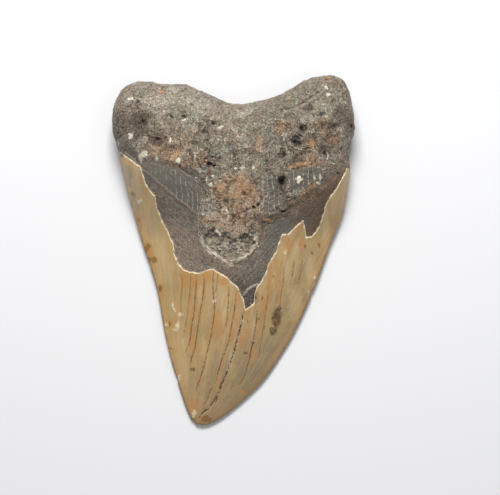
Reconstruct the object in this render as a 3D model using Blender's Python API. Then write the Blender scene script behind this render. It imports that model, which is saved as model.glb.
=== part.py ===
"""A fossil megalodon tooth: one solid, with its root, its broken enamel and the bare dentine.

The tooth lies on its flat labial face, and its domed lingual face is up. Its tip points to -Y and
its root to +Y. The origin is under the middle of the tooth, on the surface that it rests on.

Both faces start as a flat plan of triangles inside the outline of the tooth. Height functions
lift one plan to the lingual face and the other to the labial face, and the two meet along the
outline. All lengths in this file are millimetres, and the finished mesh is scaled to metres.
"""

import math

import bmesh
import bpy
import numpy as np
from mathutils import Vector, noise
from mathutils.geometry import delaunay_2d_cdt

NAME = "tooth"
MM = 0.001

# The plan of triangles
LINGUAL_SPACING = 1.7
LABIAL_SPACING = 2.8
OUTLINE_SPACING = 2.0
RIM_RINGS = (0.7, 2.2)  # rings of points inside the outline, for its rounding

# The outline, which is the widest line of the tooth
TIP_Y = -59.7
LEFT_EDGE = (
    (-10.8, TIP_Y), (-13.4, -58.8), (-15.7, -54.9), (-19.2, -44.7), (-23.2, -29.8),
    (-26.5, -12.1), (-31.5, 3.9), (-36.2, 19.9), (-38.8, 30.2),
)
RIGHT_EDGE = (
    (-10.8, TIP_Y), (-7.6, -58.9), (-1.5, -55.0), (9.7, -44.7), (19.9, -29.1), (27.2, -13.1),
    (32.5, 1.2), (37.4, 13.8), (39.6, 27.4),
)
ROOT_EDGE = (
    (39.6, 34.9), (41.2, 43.0), (39.2, 54.0), (36.6, 58.4), (31.1, 59.5), (24.0, 58.0),
    (18.2, 54.4), (10.4, 51.3), (0.5, 49.9), (-7.0, 52.4), (-15.8, 56.2), (-23.0, 56.4),
    (-31.5, 57.5), (-37.9, 54.7), (-41.0, 48.1), (-41.2, 40.3), (-39.3, 34.0),
)

# How high the outline is above the table
TIP_RIM = 1.5
SHOULDER_RIM = 3.0
ROOT_RIM = 8.5
SHOULDER_Y = 28.0
ROOT_RIM_Y = 42.0

# The lingual face
CROWN_SLOPE = 0.65  # of the dome, where it leaves the cutting edge
CROWN_CURVE = 0.035
TORUS_HEIGHT = 23.6  # the root's highest part, over the table
TORUS_Y = 31.0
LOBE_END_HEIGHT = 14.5
SHOULDER_FALL = 6.0  # how much lower the torus is at its two ends
ROOT_ROUNDING = 11.0
CROWN_END_Y = 2.0  # the crown's dome turns into the root's form between these two
ROOT_START_Y = 30.0
ENAMEL_THICKNESS = 0.9
BREAK_SLOPE = 0.45  # the width of the broken enamel's edge
BONE_STEP = 0.5  # how far the root's porous bone stands over the crown
SHOULDER_STEP = 1.5  # the same at the left shoulder
BONE_SLOPE = 1.8
HOLLOW_DEPTH = 1.4
HOLLOW_SLOPE = 1.3

# The labial face
LABIAL_SWELL = 0.2
LABIAL_ROUNDING = 7.0
LABIAL_HOLLOW = 1.2  # between the lobes
LABIAL_LEDGE = 0.5

# The lumps of the worn surface
LUMP_LENGTH = 9.0
ROOT_LUMP = 0.85
CROWN_LUMP = 0.22

# The broken edge of the enamel on the lingual face, from the left shoulder to the right one
BROKEN_EDGE = (
    (-38.3, 33.0), (-36.9, 31.8), (-34.2, 29.8), (-31.5, 28.0), (-30.4, 24.4), (-28.4, 20.4),
    (-26.7, 18.2), (-26.0, 14.1), (-23.6, 8.7), (-20.9, 2.9), (-20.2, -1.2), (-18.9, -4.6), (-16.8, -7.0),
    (-11.7, -7.8), (-7.0, -6.3), (-2.6, -9.0), (1.2, -12.4), (3.2, -16.5), (3.8, -20.2),
    (6.9, -17.9), (7.7, -12.8), (10.7, -8.3), (12.1, -3.9), (14.5, -0.5), (16.4, 5.4),
    (18.2, 5.3), (20.6, 7.5), (23.4, 9.9), (24.5, 4.2), (26.4, 4.6), (29.1, 7.7),
    (30.4, 12.4), (31.8, 16.8), (33.8, 19.2), (36.6, 24.0), (38.3, 27.6),
)

# The lower margin of the root's porous bone on the lingual face, from left to right
ROOT_MARGIN = (
    (-38.3, 35.2), (-35.9, 34.5), (-33.5, 32.4), (-31.6, 30.0), (-26.4, 29.8), (-18.2, 27.4),
    (-12.4, 24.7), (-10.4, 18.9), (-12.0, 12.0), (-10.4, 2.6), (-1.9, -4.6), (3.6, -2.9), (8.3, 1.9),
    (11.7, 9.7), (19.2, 12.1), (22.6, 15.8), (28.7, 20.6), (34.5, 25.3), (38.6, 29.0),
)

# The rim of the hollow in the root's point
HOLLOW_RIM = (
    (-9.7, 4.2), (-7.3, 0.2), (-1.5, -3.9), (2.2, -3.2), (6.3, -0.5), (8.3, 3.6), (5.6, 6.0),
    (-1.9, 6.0), (-7.3, 8.0),
)

# The top of the enamel on the labial face, from left to right
LABIAL_MARGIN = (
    (-38.2, 30.4), (-30.0, 28.2), (-18.0, 24.2), (-4.0, 21.6), (10.0, 21.8), (24.0, 24.6),
    (33.0, 26.6), (38.6, 28.2),
)

# The pits of the lingual face: x, y, radius and depth
PITS = (
    (-7.6, 5.0, 1.7, 1.2), (-2.9, 5.0, 2.0, 1.3), (4.4, 4.0, 2.2, 1.3), (16.2, 22.8, 1.9, 1.7),
    (-7.6, 29.0, 2.4, 1.0), (22.0, 36.0, 2.6, 1.4), (23.4, 40.6, 1.6, 1.1), (39.0, 42.4, 1.6, 0.7),
    (-31.0, 43.4, 3.6, 1.5), (-25.6, 37.4, 3.2, 1.1), (-6.8, 42.4, 1.5, 0.9), (16.4, 32.4, 1.8, 0.9),
    (33.8, 41.0, 1.8, 0.7), (29.8, 45.4, 1.6, 0.8), (28.7, 39.4, 1.6, 0.6), (25.0, 32.5, 1.9, 0.7),
    (31.0, 32.5, 1.7, 0.6), (-13.1, 35.2, 1.6, 0.7), (-9.7, 38.6, 1.5, 0.6), (-16.8, 45.1, 1.7, 0.6),
    (-21.6, 44.4, 1.6, 0.5), (-13.4, 49.8, 1.6, 0.5), (-34.2, 48.8, 1.6, 0.6), (6.3, 31.8, 1.9, 0.6),
    (14.5, 42.0, 1.5, 0.5), (5.6, 43.4, 1.8, 0.5),
)

BONE_COLOUR = (0.13, 0.11, 0.085, 1.0)
BONE_ROUGHNESS = 0.7


def smooth_line(points, spacing, closed=False):
    """A Catmull-Rom curve through the points, read at an even spacing."""
    points = np.array(points, float)
    if closed:
        points = np.vstack((points[-1:], points, points[:2]))
    else:
        before = 2 * points[0] - points[1]
        after = 2 * points[-1] - points[-2]
        points = np.vstack((before, points, after))
    t = np.linspace(0, 1, 24, endpoint=False)[:, None]
    spans = []
    for a, b, c, d in zip(points, points[1:], points[2:], points[3:]):
        spans.append(b + (c - a) * t / 2 + (2 * a - 5 * b + 4 * c - d) * t**2 / 2
                     + (3 * b - a - 3 * c + d) * t**3 / 2)
    spans.append(points[-2][None])
    return even_line(np.vstack(spans), spacing)


def even_line(points, spacing):
    """The same polyline, read at an even spacing."""
    points = np.array(points, float)
    steps = np.hypot(*np.diff(points, axis=0).T)
    along = np.concatenate(([0], np.cumsum(steps)))
    count = max(2, round(along[-1] / spacing) + 1)
    stops = np.linspace(0, along[-1], count)
    return np.column_stack((np.interp(stops, along, points[:, 0]),
                            np.interp(stops, along, points[:, 1])))


def split_line(points, spacing):
    """The same polyline with its corners kept and its long runs cut up."""
    runs = [even_line((a, b), spacing)[:-1] for a, b in zip(points, points[1:])]
    return np.vstack(runs + [np.array(points[-1:], float)])


def tooth_outline():
    """The tooth's outline, anticlockwise from its tip."""
    right = smooth_line(RIGHT_EDGE, OUTLINE_SPACING)
    root = smooth_line((RIGHT_EDGE[-1],) + ROOT_EDGE + (LEFT_EDGE[-1],), OUTLINE_SPACING)
    left = smooth_line(LEFT_EDGE, OUTLINE_SPACING)[::-1]
    return np.vstack((right[:-1], root[:-1], left[:-1]))


def line_distance(points, line):
    """How far each point is from an open polyline."""
    start = line[:-1]
    run = line[1:] - start
    offset = points[:, None] - start
    share = (offset * run).sum(-1) / (run**2).sum(-1)
    nearest = np.clip(share, 0, 1)[..., None] * run
    return np.hypot(*np.moveaxis(offset - nearest, -1, 0)).min(1)


def is_inside(points, loop):
    """Whether each point is inside a closed polygon, by counting the edges that it is left of."""
    x, y = points.T[:, :, None]
    (x0, y0), (x1, y1) = loop.T, np.roll(loop, -1, axis=0).T
    spans = (y0 > y) != (y1 > y)
    rise = np.where(y1 == y0, 1, y1 - y0)
    crossing = x0 + (y - y0) * (x1 - x0) / rise
    return (spans & (x < crossing)).sum(1) % 2 == 1


def height_over(points, line):
    """The signed distance from a line that runs from left to right, above it positive."""
    left, right = line[0], line[-1]
    far = ((right[0] + 99, right[1]), (right[0] + 99, 199), (left[0] - 99, 199), (left[0] - 99, left[1]))
    above = is_inside(points, np.vstack((line, far)))
    return np.where(above, 1, -1) * line_distance(points, line)


def inset(points, loop):
    """How deep each point is in a loop: its distance near an edge, and smooth everywhere.

    This is 2 over the sum of the mean value weights of the loop's corners.
    """
    to = loop - points[:, None]
    after = np.roll(to, -1, axis=1)
    radius = np.hypot(to[..., 0], to[..., 1])
    radius_after = np.roll(radius, -1, axis=1)
    dot = (to * after).sum(-1)
    cross = to[..., 0] * after[..., 1] - to[..., 1] * after[..., 0]
    half_tangent = cross / np.maximum(radius * radius_after + dot, 1e-9)
    weights = half_tangent * (1 / radius + 1 / radius_after)
    return 2 / np.maximum(weights.sum(1), 1e-6)


def smooth_step(low, high, value):
    share = np.clip((value - low) / (high - low), 0, 1)
    return share * share * (3 - 2 * share)


def quarter_round(value, radius):
    """A quarter circle's rise, from 0 at the value 0 to 1 at the radius and past it."""
    return np.sqrt(1 - (1 - np.clip(value / radius, 0, 1))**2)


def lumps(points, side):
    """A soft lumpy noise over the plan, from about -1 to 1, with its own pattern on each side."""
    def at(x, y):
        here = Vector((x, y, 31 * side)) / LUMP_LENGTH
        return noise.noise(here) + 0.45 * noise.noise(here * 2.3) + 0.2 * noise.noise(here * 4.7)
    return np.array([at(x, y) for x, y in points])


def rim_height(y):
    """How high the outline is above the table."""
    edge = (SHOULDER_RIM - TIP_RIM) * smooth_step(TIP_Y + 10, SHOULDER_Y, y)
    root = (ROOT_RIM - SHOULDER_RIM) * smooth_step(SHOULDER_Y - 2, ROOT_RIM_Y, y)
    return TIP_RIM + edge + root


def root_height(x, y):
    """The root's lingual face without its rounded rim: a low torus that falls away to the lobes."""
    toward_crown = np.clip((TORUS_Y - y) / 40, 0, 1)
    toward_lobes = np.clip((y - TORUS_Y) / (60 - TORUS_Y), 0, 1)
    height = TORUS_HEIGHT - 8 * toward_crown**2
    height -= (TORUS_HEIGHT - LOBE_END_HEIGHT) * toward_lobes**2
    return height - SHOULDER_FALL * (x / 40)**2 * (1 - 0.7 * toward_lobes)


def lingual_height(points, outline):
    """The lingual face: the crown's dome, the root, and what has broken and worn away."""
    x, y = points.T
    depth = inset(points, outline)
    rim = rim_height(y)
    in_root = smooth_step(CROWN_END_Y, ROOT_START_Y, y)
    crown = rim + CROWN_SLOPE * depth + CROWN_CURVE * depth**2
    root = rim + (root_height(x, y) - rim) * quarter_round(depth, ROOT_ROUNDING)
    height = (1 - in_root) * crown + in_root * root

    over_margin = height_over(points, smooth_line(ROOT_MARGIN, OUTLINE_SPACING))
    bone = smooth_step(-0.3, BONE_SLOPE, over_margin)
    bare = np.clip(height_over(points, np.array(BROKEN_EDGE)) / BREAK_SLOPE, 0, 1)
    inner = smooth_step(0, 2, depth)
    step = SHOULDER_STEP + (BONE_STEP - SHOULDER_STEP) * smooth_step(-33, -22, x)
    height += inner * (step * bone - ENAMEL_THICKNESS * bare * (1 - bone))

    hollow = np.array(HOLLOW_RIM)
    in_hollow = is_inside(points, hollow)
    height[in_hollow] -= HOLLOW_DEPTH * smooth_step(0, HOLLOW_SLOPE, inset(points[in_hollow], hollow))
    for pit_x, pit_y, radius, pit_depth in PITS:
        share = np.clip(np.hypot(x - pit_x, y - pit_y) / radius, 0, 1)
        height -= pit_depth * (1 - share**2)**2

    swell = (CROWN_LUMP + (ROOT_LUMP - CROWN_LUMP) * bone) * smooth_step(0, 3, depth)
    return height + swell * lumps(points, 1)


def labial_height(points, outline):
    """The labial face: nearly flat, with the root's rounding, on the table where it is lowest."""
    x, y = points.T
    depth = inset(points, outline)
    rim = rim_height(y)
    over_margin = height_over(points, smooth_line(LABIAL_MARGIN, OUTLINE_SPACING))
    in_root = smooth_step(-2, 6, over_margin)
    crown = rim - LABIAL_SWELL * depth
    root = rim * (1 - quarter_round(depth, LABIAL_ROUNDING))
    height = (1 - in_root) * crown + in_root * root
    height += LABIAL_LEDGE * smooth_step(0, 0.5, over_margin) * (1 - smooth_step(1, 7, over_margin))
    height += LABIAL_HOLLOW * np.exp(-((x / 13)**2 + ((y - 40) / 12)**2))
    swell = (CROWN_LUMP + (ROOT_LUMP - CROWN_LUMP) * in_root) * smooth_step(0, 3, depth)
    return np.maximum(height + swell * lumps(points, 2) - 0.15, 0)


def hexagon_grid(outline, spacing, margin):
    """Points on a grid of triangles inside the outline, no nearer to it than the margin."""
    low, high = outline.min(0), outline.max(0)
    rows = np.arange(low[1], high[1], spacing * math.sqrt(3) / 2)
    points = []
    for number, y in enumerate(rows):
        shift = spacing / 2 * (number % 2)
        points += [(x + shift, y) for x in np.arange(low[0], high[0], spacing)]
    points = np.array(points)
    points = points[is_inside(points, outline)]
    return points[inset(points, outline) > margin]


def rim_rings(outline):
    """Rings of points inside the outline, which thin out where the tooth is narrow."""
    along = np.roll(outline, -1, axis=0) - np.roll(outline, 1, axis=0)
    inward = np.column_stack((-along[:, 1], along[:, 0])) / np.hypot(*along.T)[:, None]
    rings = []
    for number, width in enumerate(RIM_RINGS):
        ring = outline + width * inward
        ring = ring[number::2] if number else ring
        rings.append(ring[inset(ring, outline) > 0.7 * width])
    return np.vstack(rings)


def pit_points():
    """A point in the middle of each pit, and a ring on its wall."""
    points = []
    for x, y, radius, _ in PITS:
        points.append((x, y))
        for number in range(6):
            angle = math.tau * number / 6
            points.append((x + 0.6 * radius * math.cos(angle), y + 0.6 * radius * math.sin(angle)))
    return np.array(points)


def beside_line(line, distance):
    """Points beside a line at a distance to its left, but for those that fall in its corners."""
    along = np.vstack((line[1:2] - line[:1], line[2:] - line[:-2], line[-1:] - line[-2:-1]))
    left = np.column_stack((-along[:, 1], along[:, 0])) / np.hypot(*along.T)[:, None]
    points = line + distance * left
    return points[line_distance(points, line) > 0.8 * abs(distance)]


def triangulate(outline, lines, loose):
    """Triangles inside the outline, through all the points and along the lines."""
    points = list(outline)
    edges = [(i, (i + 1) % len(outline)) for i in range(len(outline))]
    for line in lines:
        start = len(points)
        points += list(line)
        edges += [(i, i + 1) for i in range(start, len(points) - 1)]
    points += list(loose)
    corners = [Vector(point) for point in points]
    vertices, _, faces, _, _, _ = delaunay_2d_cdt(corners, edges, [], 1, 1e-4)
    return np.array([tuple(vertex) for vertex in vertices]), faces


def clear_of(points, others, distance):
    """The points that aren't near any of the others."""
    gaps = np.hypot(*np.moveaxis(points[:, None] - others, -1, 0))
    return points[gaps.min(1) > distance]


def lingual_plan(outline):
    """The plan of the lingual face, with edges along the broken enamel and the root's margin."""
    crest = split_line(BROKEN_EDGE, LINGUAL_SPACING)
    margin = smooth_line(ROOT_MARGIN, LINGUAL_SPACING)
    hollow = split_line(HOLLOW_RIM, LINGUAL_SPACING)
    kept = np.vstack((crest, beside_line(crest, BREAK_SLOPE), pit_points()))
    margin = clear_of(margin, kept, 0.5 * LINGUAL_SPACING)
    hollow = clear_of(hollow, np.vstack((kept, margin)), 0.5 * LINGUAL_SPACING)
    floor = beside_line(hollow, HOLLOW_SLOPE)
    foot = clear_of(beside_line(margin, BONE_SLOPE), kept, 0.5 * LINGUAL_SPACING)
    kept = np.vstack((kept, margin, hollow, foot, floor, rim_rings(outline)))
    grid = hexagon_grid(outline, LINGUAL_SPACING, RIM_RINGS[-1] + 0.5 * LINGUAL_SPACING)
    grid = clear_of(grid, kept, 0.6 * LINGUAL_SPACING)
    return triangulate(outline, (crest,), np.vstack((kept[len(crest):], grid)))


def labial_plan(outline):
    """The plan of the labial face, with edges along the top of its enamel."""
    crest = smooth_line(LABIAL_MARGIN, LABIAL_SPACING)
    grid = hexagon_grid(outline, LABIAL_SPACING, RIM_RINGS[-1] + 0.5 * LABIAL_SPACING)
    grid = grid[line_distance(grid, crest) > 0.6 * LABIAL_SPACING]
    return triangulate(outline, (crest,), np.vstack((rim_rings(outline), grid)))


def build_mesh(outline):
    """Both faces, lifted from their plans and joined along the outline."""
    tooth = bmesh.new()
    sides = ((lingual_plan(outline), lingual_height, 1), (labial_plan(outline), labial_height, -1))
    rim = rim_height(outline[:, 1])
    ring = [tooth.verts.new((x, y, z)) for (x, y), z in zip(outline, rim)]
    for (points, faces), surface, facing in sides:
        inner = points[len(outline):]
        heights = surface(inner, outline)
        verts = ring + [tooth.verts.new((x, y, z)) for (x, y), z in zip(inner, heights)]
        for face in faces:
            tooth.faces.new([verts[i] for i in face[::facing]])
    bmesh.ops.scale(tooth, vec=Vector((MM, MM, MM)), verts=tooth.verts)
    mesh = bpy.data.meshes.new(NAME)
    tooth.to_mesh(mesh)
    tooth.free()
    return mesh


def fossil_material():
    material = bpy.data.materials.new("fossil")
    material.use_nodes = True
    shader = material.node_tree.nodes["Principled BSDF"]
    shader.inputs["Base Color"].default_value = BONE_COLOUR
    shader.inputs["Roughness"].default_value = BONE_ROUGHNESS
    return material


def main():
    for old in list(bpy.data.objects):
        bpy.data.objects.remove(old)
    mesh = build_mesh(tooth_outline())
    mesh.materials.append(fossil_material())
    mesh.shade_smooth()
    tooth = bpy.data.objects.new(NAME, mesh)
    collection = bpy.data.collections.new("megalodon tooth")
    bpy.context.scene.collection.children.link(collection)
    collection.objects.link(tooth)


main()
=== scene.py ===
"""A fossil megalodon tooth with its porous root, broken enamel and bare dentine.

The file is laid out as an add-on and run as a script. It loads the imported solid, makes a fine
surface of the same form in its place, and sets the tooth on a pale table under soft light.

The drawings below are in millimetres, as the maker measured them. The plan has its tip at -Y and
its root at +Y, and the domed lingual face is up.
"""

import math
from functools import cached_property
from types import SimpleNamespace

import bmesh
import bpy
import numpy as np
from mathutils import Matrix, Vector, noise
from mathutils.geometry import delaunay_2d_cdt
from mathutils.kdtree import KDTree


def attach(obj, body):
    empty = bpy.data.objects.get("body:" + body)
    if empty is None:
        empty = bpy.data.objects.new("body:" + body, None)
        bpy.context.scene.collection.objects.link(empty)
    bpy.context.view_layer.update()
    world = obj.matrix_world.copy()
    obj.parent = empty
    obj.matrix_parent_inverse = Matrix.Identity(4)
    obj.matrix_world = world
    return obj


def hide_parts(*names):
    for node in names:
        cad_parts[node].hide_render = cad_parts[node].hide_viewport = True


bl_info = {
    "name": "Megalodon Tooth",
    "version": (1, 0, 0),
    "blender": (4, 5, 0),
    "location": "View3D > Sidebar > Fossil",
    "description": "Makes a worn fossil megalodon tooth and the table that it lies on",
    "category": "Object",
}

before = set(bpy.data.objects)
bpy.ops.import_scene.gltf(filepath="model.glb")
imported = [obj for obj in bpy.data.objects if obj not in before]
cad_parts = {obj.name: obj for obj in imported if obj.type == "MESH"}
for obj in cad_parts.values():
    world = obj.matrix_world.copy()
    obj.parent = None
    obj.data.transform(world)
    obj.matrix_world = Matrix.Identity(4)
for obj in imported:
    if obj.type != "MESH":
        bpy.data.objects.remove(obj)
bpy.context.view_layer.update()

MM = 0.001
NODE = "tooth"

# ---------------------------------------------------------------- the drawing, in millimetres

TIP_Y = -59.7
LEFT_EDGE = (
    (-10.8, TIP_Y), (-13.4, -58.8), (-15.7, -54.9), (-19.2, -44.7), (-23.2, -29.8),
    (-26.5, -12.1), (-31.5, 3.9), (-36.2, 19.9), (-38.8, 30.2),
)
RIGHT_EDGE = (
    (-10.8, TIP_Y), (-7.6, -58.9), (-1.5, -55.0), (9.7, -44.7), (19.9, -29.1), (27.2, -13.1),
    (32.5, 1.2), (37.4, 13.8), (39.6, 27.4),
)
ROOT_EDGE = (
    (39.6, 34.9), (41.2, 43.0), (39.2, 54.0), (36.6, 58.4), (31.1, 59.5), (24.0, 58.0),
    (18.2, 54.4), (10.4, 51.3), (0.5, 49.9), (-7.0, 52.4), (-15.8, 56.2), (-23.0, 56.4),
    (-31.5, 57.5), (-37.9, 54.7), (-41.0, 48.1), (-41.2, 40.3), (-39.3, 34.0),
)

# How high the outline is above the table
TIP_RIM = 1.5
SHOULDER_RIM = 3.0
ROOT_RIM = 8.5
SHOULDER_Y = 28.0
ROOT_RIM_Y = 42.0

# The lingual face
CROWN_SLOPE = 0.65
CROWN_CURVE = 0.035
TORUS_HEIGHT = 23.6
TORUS_Y = 31.0
LOBE_END_HEIGHT = 14.5
SHOULDER_FALL = 6.0
ROOT_ROUNDING = 11.0
CROWN_END_Y = 2.0
ROOT_START_Y = 30.0
BONE_STEP = 0.35
SHOULDER_STEP = 1.5
BONE_SLOPE = 1.8
HOLLOW_DEPTH = 0.85
HOLLOW_SLOPE = 0.5

# The labial face
LABIAL_SWELL = 0.2
LABIAL_ROUNDING = 7.0
LABIAL_HOLLOW = 1.2
LABIAL_LEDGE = 0.5

SHAKE_SEED = 1  # of the noise that shakes the drawn lines; it can't be 0, which means the clock

# The lumps of the worn surface
LUMP_LENGTH = 9.0
ROOT_LUMP = 0.85
CROWN_LUMP = 0.22

BROKEN_EDGE = (
    (-38.3, 33.0), (-36.9, 31.8), (-34.2, 29.8), (-31.5, 28.0), (-30.4, 24.4), (-28.4, 20.4),
    (-26.7, 18.2), (-26.0, 14.1), (-23.6, 8.7), (-20.9, 2.9), (-20.2, -1.2), (-18.9, -4.6),
    (-16.8, -7.0), (-11.7, -7.8), (-7.0, -6.3), (-2.6, -9.0), (1.2, -12.4), (3.2, -16.5),
    (3.8, -20.2), (6.9, -17.9), (7.7, -12.8), (10.7, -8.3), (12.1, -3.9), (14.5, -0.5),
    (16.4, 5.4), (18.2, 5.3), (20.6, 7.5), (23.4, 9.9), (24.5, 4.2), (26.4, 4.6), (29.1, 7.7),
    (30.4, 12.4), (31.8, 16.8), (33.8, 19.2), (36.6, 24.0), (38.3, 27.6),
)
ROOT_MARGIN = (
    (-38.3, 35.2), (-35.9, 34.5), (-33.5, 32.4), (-31.6, 30.0), (-26.4, 29.8), (-18.2, 27.4),
    (-12.4, 24.7), (-10.4, 18.9), (-12.0, 12.0), (-10.4, 2.6), (-1.9, -4.6), (3.6, -2.9),
    (8.3, 1.9), (11.7, 9.7), (19.2, 12.1), (22.6, 15.8), (28.7, 20.6), (34.5, 25.3),
    (38.6, 29.0),
)
HOLLOW_RIM = (
    (-9.8, 2.2), (-7.4, -0.6), (-4.8, -2.4), (-2.2, -3.8), (2.0, -2.8), (6.3, -0.3), (7.6, 2.2),
    (6.9, 3.6), (5.8, 4.8), (3.6, 5.7), (2.0, 4.7), (1.3, 3.3), (0.3, 3.9), (-0.6, 4.0),
    (-1.4, 5.7), (-3.0, 6.1), (-4.4, 4.8), (-5.0, 6.5), (-6.8, 7.5), (-8.6, 6.5), (-9.8, 4.4),
)
LABIAL_MARGIN = (
    (-38.2, 30.4), (-30.0, 28.2), (-18.0, 24.2), (-4.0, 21.6), (10.0, 21.8), (24.0, 24.6),
    (33.0, 26.6), (38.6, 28.2),
)
# The smooth striated bands that are left between the root and the bare dentine
STRIATED_LOOPS = (  # each starts with how much of the bone's grain it hides
    (1.0, (-31.4, 29.4), (-30.6, 27.4), (-27.7, 25.2), (-24.3, 22.2), (-21.6, 19.9), (-18.6, 17.2),
     (-16.0, 15.3), (-12.6, 12.4), (-10.4, 12.2), (-9.4, 16.2), (-11.8, 21.0), (-15.9, 24.7),
     (-20.3, 27.2), (-26.0, 29.0)),
    (1.0, (17.8, 22.4), (19.2, 18.8), (22.6, 19.8), (26.7, 23.3), (29.1, 27.2), (27.7, 28.6),
     (22.9, 27.7), (18.6, 25.7)),
    (0.65, (-10.6, 21.0), (-9.8, 12.0), (-7.4, 11.0), (-5.4, 13.0), (-5.6, 17.5), (-7.4, 20.0)),
    (0.85, (8.6, 26.0), (7.2, 18.0), (8.4, 12.6), (12.4, 11.6), (16.0, 14.0), (15.6, 19.6),
     (14.6, 24.6)),
)
RIDGES = (  # narrow raised lines: below the left band, in the notch, and over the right lobe
    ((-31.6, 28.2), (-31.0, 27.1), (-27.7, 24.8), (-24.3, 21.8), (-21.6, 19.5), (-18.6, 16.8),
     (-16.3, 15.3), (-12.8, 12.2)),
    ((3.2, -14.8), (4.8, -13.2), (6.4, -12.2), (8.0, -11.5)),
    ((16.6, 46.0), (21.6, 47.8), (25.0, 49.8), (28.0, 51.8), (30.6, 54.0)),
)
PALE_RIDGES = (  # the hollow's lower rim, the spurs between its arches, and folds above it
    ((-10.8, 5.0), (-10.3, 2.2), (-9.0, 0.8), (-7.0, -0.9), (-4.0, -3.1), (-1.8, -4.4), (-0.6, -4.6)),
    ((1.0, -3.9), (2.0, -3.1), (3.9, -2.2), (5.2, -1.2), (6.2, 0.7), (7.4, 2.0), (7.9, 4.2)),
    ((7.0, 1.2), (7.5, 2.8), (7.2, 4.6)), ((1.7, 3.4), (1.9, 1.4), (1.4, -0.4)),
    ((5.3, 5.0), (6.0, 3.9), (6.9, 3.0)), ((-3.6, 13.6), (-4.2, 11.8), (-3.4, 9.8)),
    ((-2.2, 9.6), (-1.8, 11.6), (-2.4, 13.4)), ((-5.8, 7.4), (-4.9, 5.8), (-4.5, 4.0)),
)

# The folds of the worn bone: narrow grooves, darkened with painted shade
FOLDS = (
    ((3.3, 12.7), (5.0, 13.6), (6.6, 13.9), (8.8, 15.2)), ((3.0, 19.0), (4.4, 18.8), (6.2, 19.8)),
    ((-4.0, 14.4), (-4.5, 12.0), (-3.6, 10.4), (-2.9, 8.8)), ((8.6, 15.4), (9.4, 16.8), (9.0, 18.2)),
    ((0.0, 16.8), (-0.6, 13.0), (0.2, 10.0), (-0.4, 8.2)), ((4.2, 12.4), (4.1, 10.0), (3.2, 8.0)),
    ((9.8, 9.3), (11.4, 9.4), (12.8, 9.0), (14.0, 10.2)), ((-7.0, 21.4), (-5.6, 19.6), (-4.9, 17.4)),
    ((14.4, 14.2), (16.4, 13.0), (18.0, 13.8), (19.4, 14.4)), ((-2.2, 20.6), (-2.8, 18.0), (-2.2, 15.8)),
    ((17.8, 26.4), (20.6, 27.2), (23.6, 27.9), (26.6, 28.7)), ((6.9, 12.4), (7.3, 10.0), (6.7, 7.9)),
    ((-18.4, 28.6), (-17.2, 26.8), (-14.6, 25.4)), ((-12.4, 30.4), (-10.4, 27.4), (-7.6, 26.6)),
    ((17.6, 47.2), (22.0, 49.0), (26.2, 51.8), (28.6, 53.6)), ((20.0, 32.6), (21.6, 31.2), (23.8, 31.0)),
    ((-38.6, 34.6), (-36.0, 33.4), (-33.6, 31.2), (-32.0, 29.2)), ((29.4, 33.8), (31.0, 34.6), (33.6, 34.2)),
)

# The pits: x, y, radius and depth
PITS = (
    (-7.4, 4.6, 1.8, 0.35), (-2.9, 4.0, 1.7, 0.35), (3.9, 3.5, 1.9, 0.45), (16.2, 22.8, 1.8, 1.5),
    (-7.6, 29.0, 2.4, 1.0), (21.4, 36.4, 2.2, 1.3), (23.4, 40.6, 1.2, 1.0), (39.0, 42.4, 1.6, 0.7),
    (-31.0, 43.4, 3.6, 1.5), (-25.6, 37.4, 3.2, 1.1), (-6.8, 42.4, 1.5, 0.9), (16.4, 32.4, 1.8, 0.9),
    (33.8, 41.0, 1.8, 0.7), (29.8, 45.4, 1.6, 0.8), (28.7, 39.4, 1.6, 0.6), (25.0, 32.5, 1.9, 0.7),
    (31.0, 32.5, 1.7, 0.6), (-13.1, 35.2, 1.6, 0.7), (-9.7, 38.6, 1.5, 0.6), (-16.8, 45.1, 1.7, 0.6),
    (-21.6, 44.4, 1.6, 0.5), (-13.4, 49.8, 1.6, 0.5), (-34.2, 48.8, 1.6, 0.6), (6.3, 31.8, 1.9, 0.6),
    (14.5, 42.0, 1.5, 0.5), (5.6, 43.4, 1.8, 0.5),
)

PIT_STRETCH = 1.35  # the fine surface shows them sharper than the solid does

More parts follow.
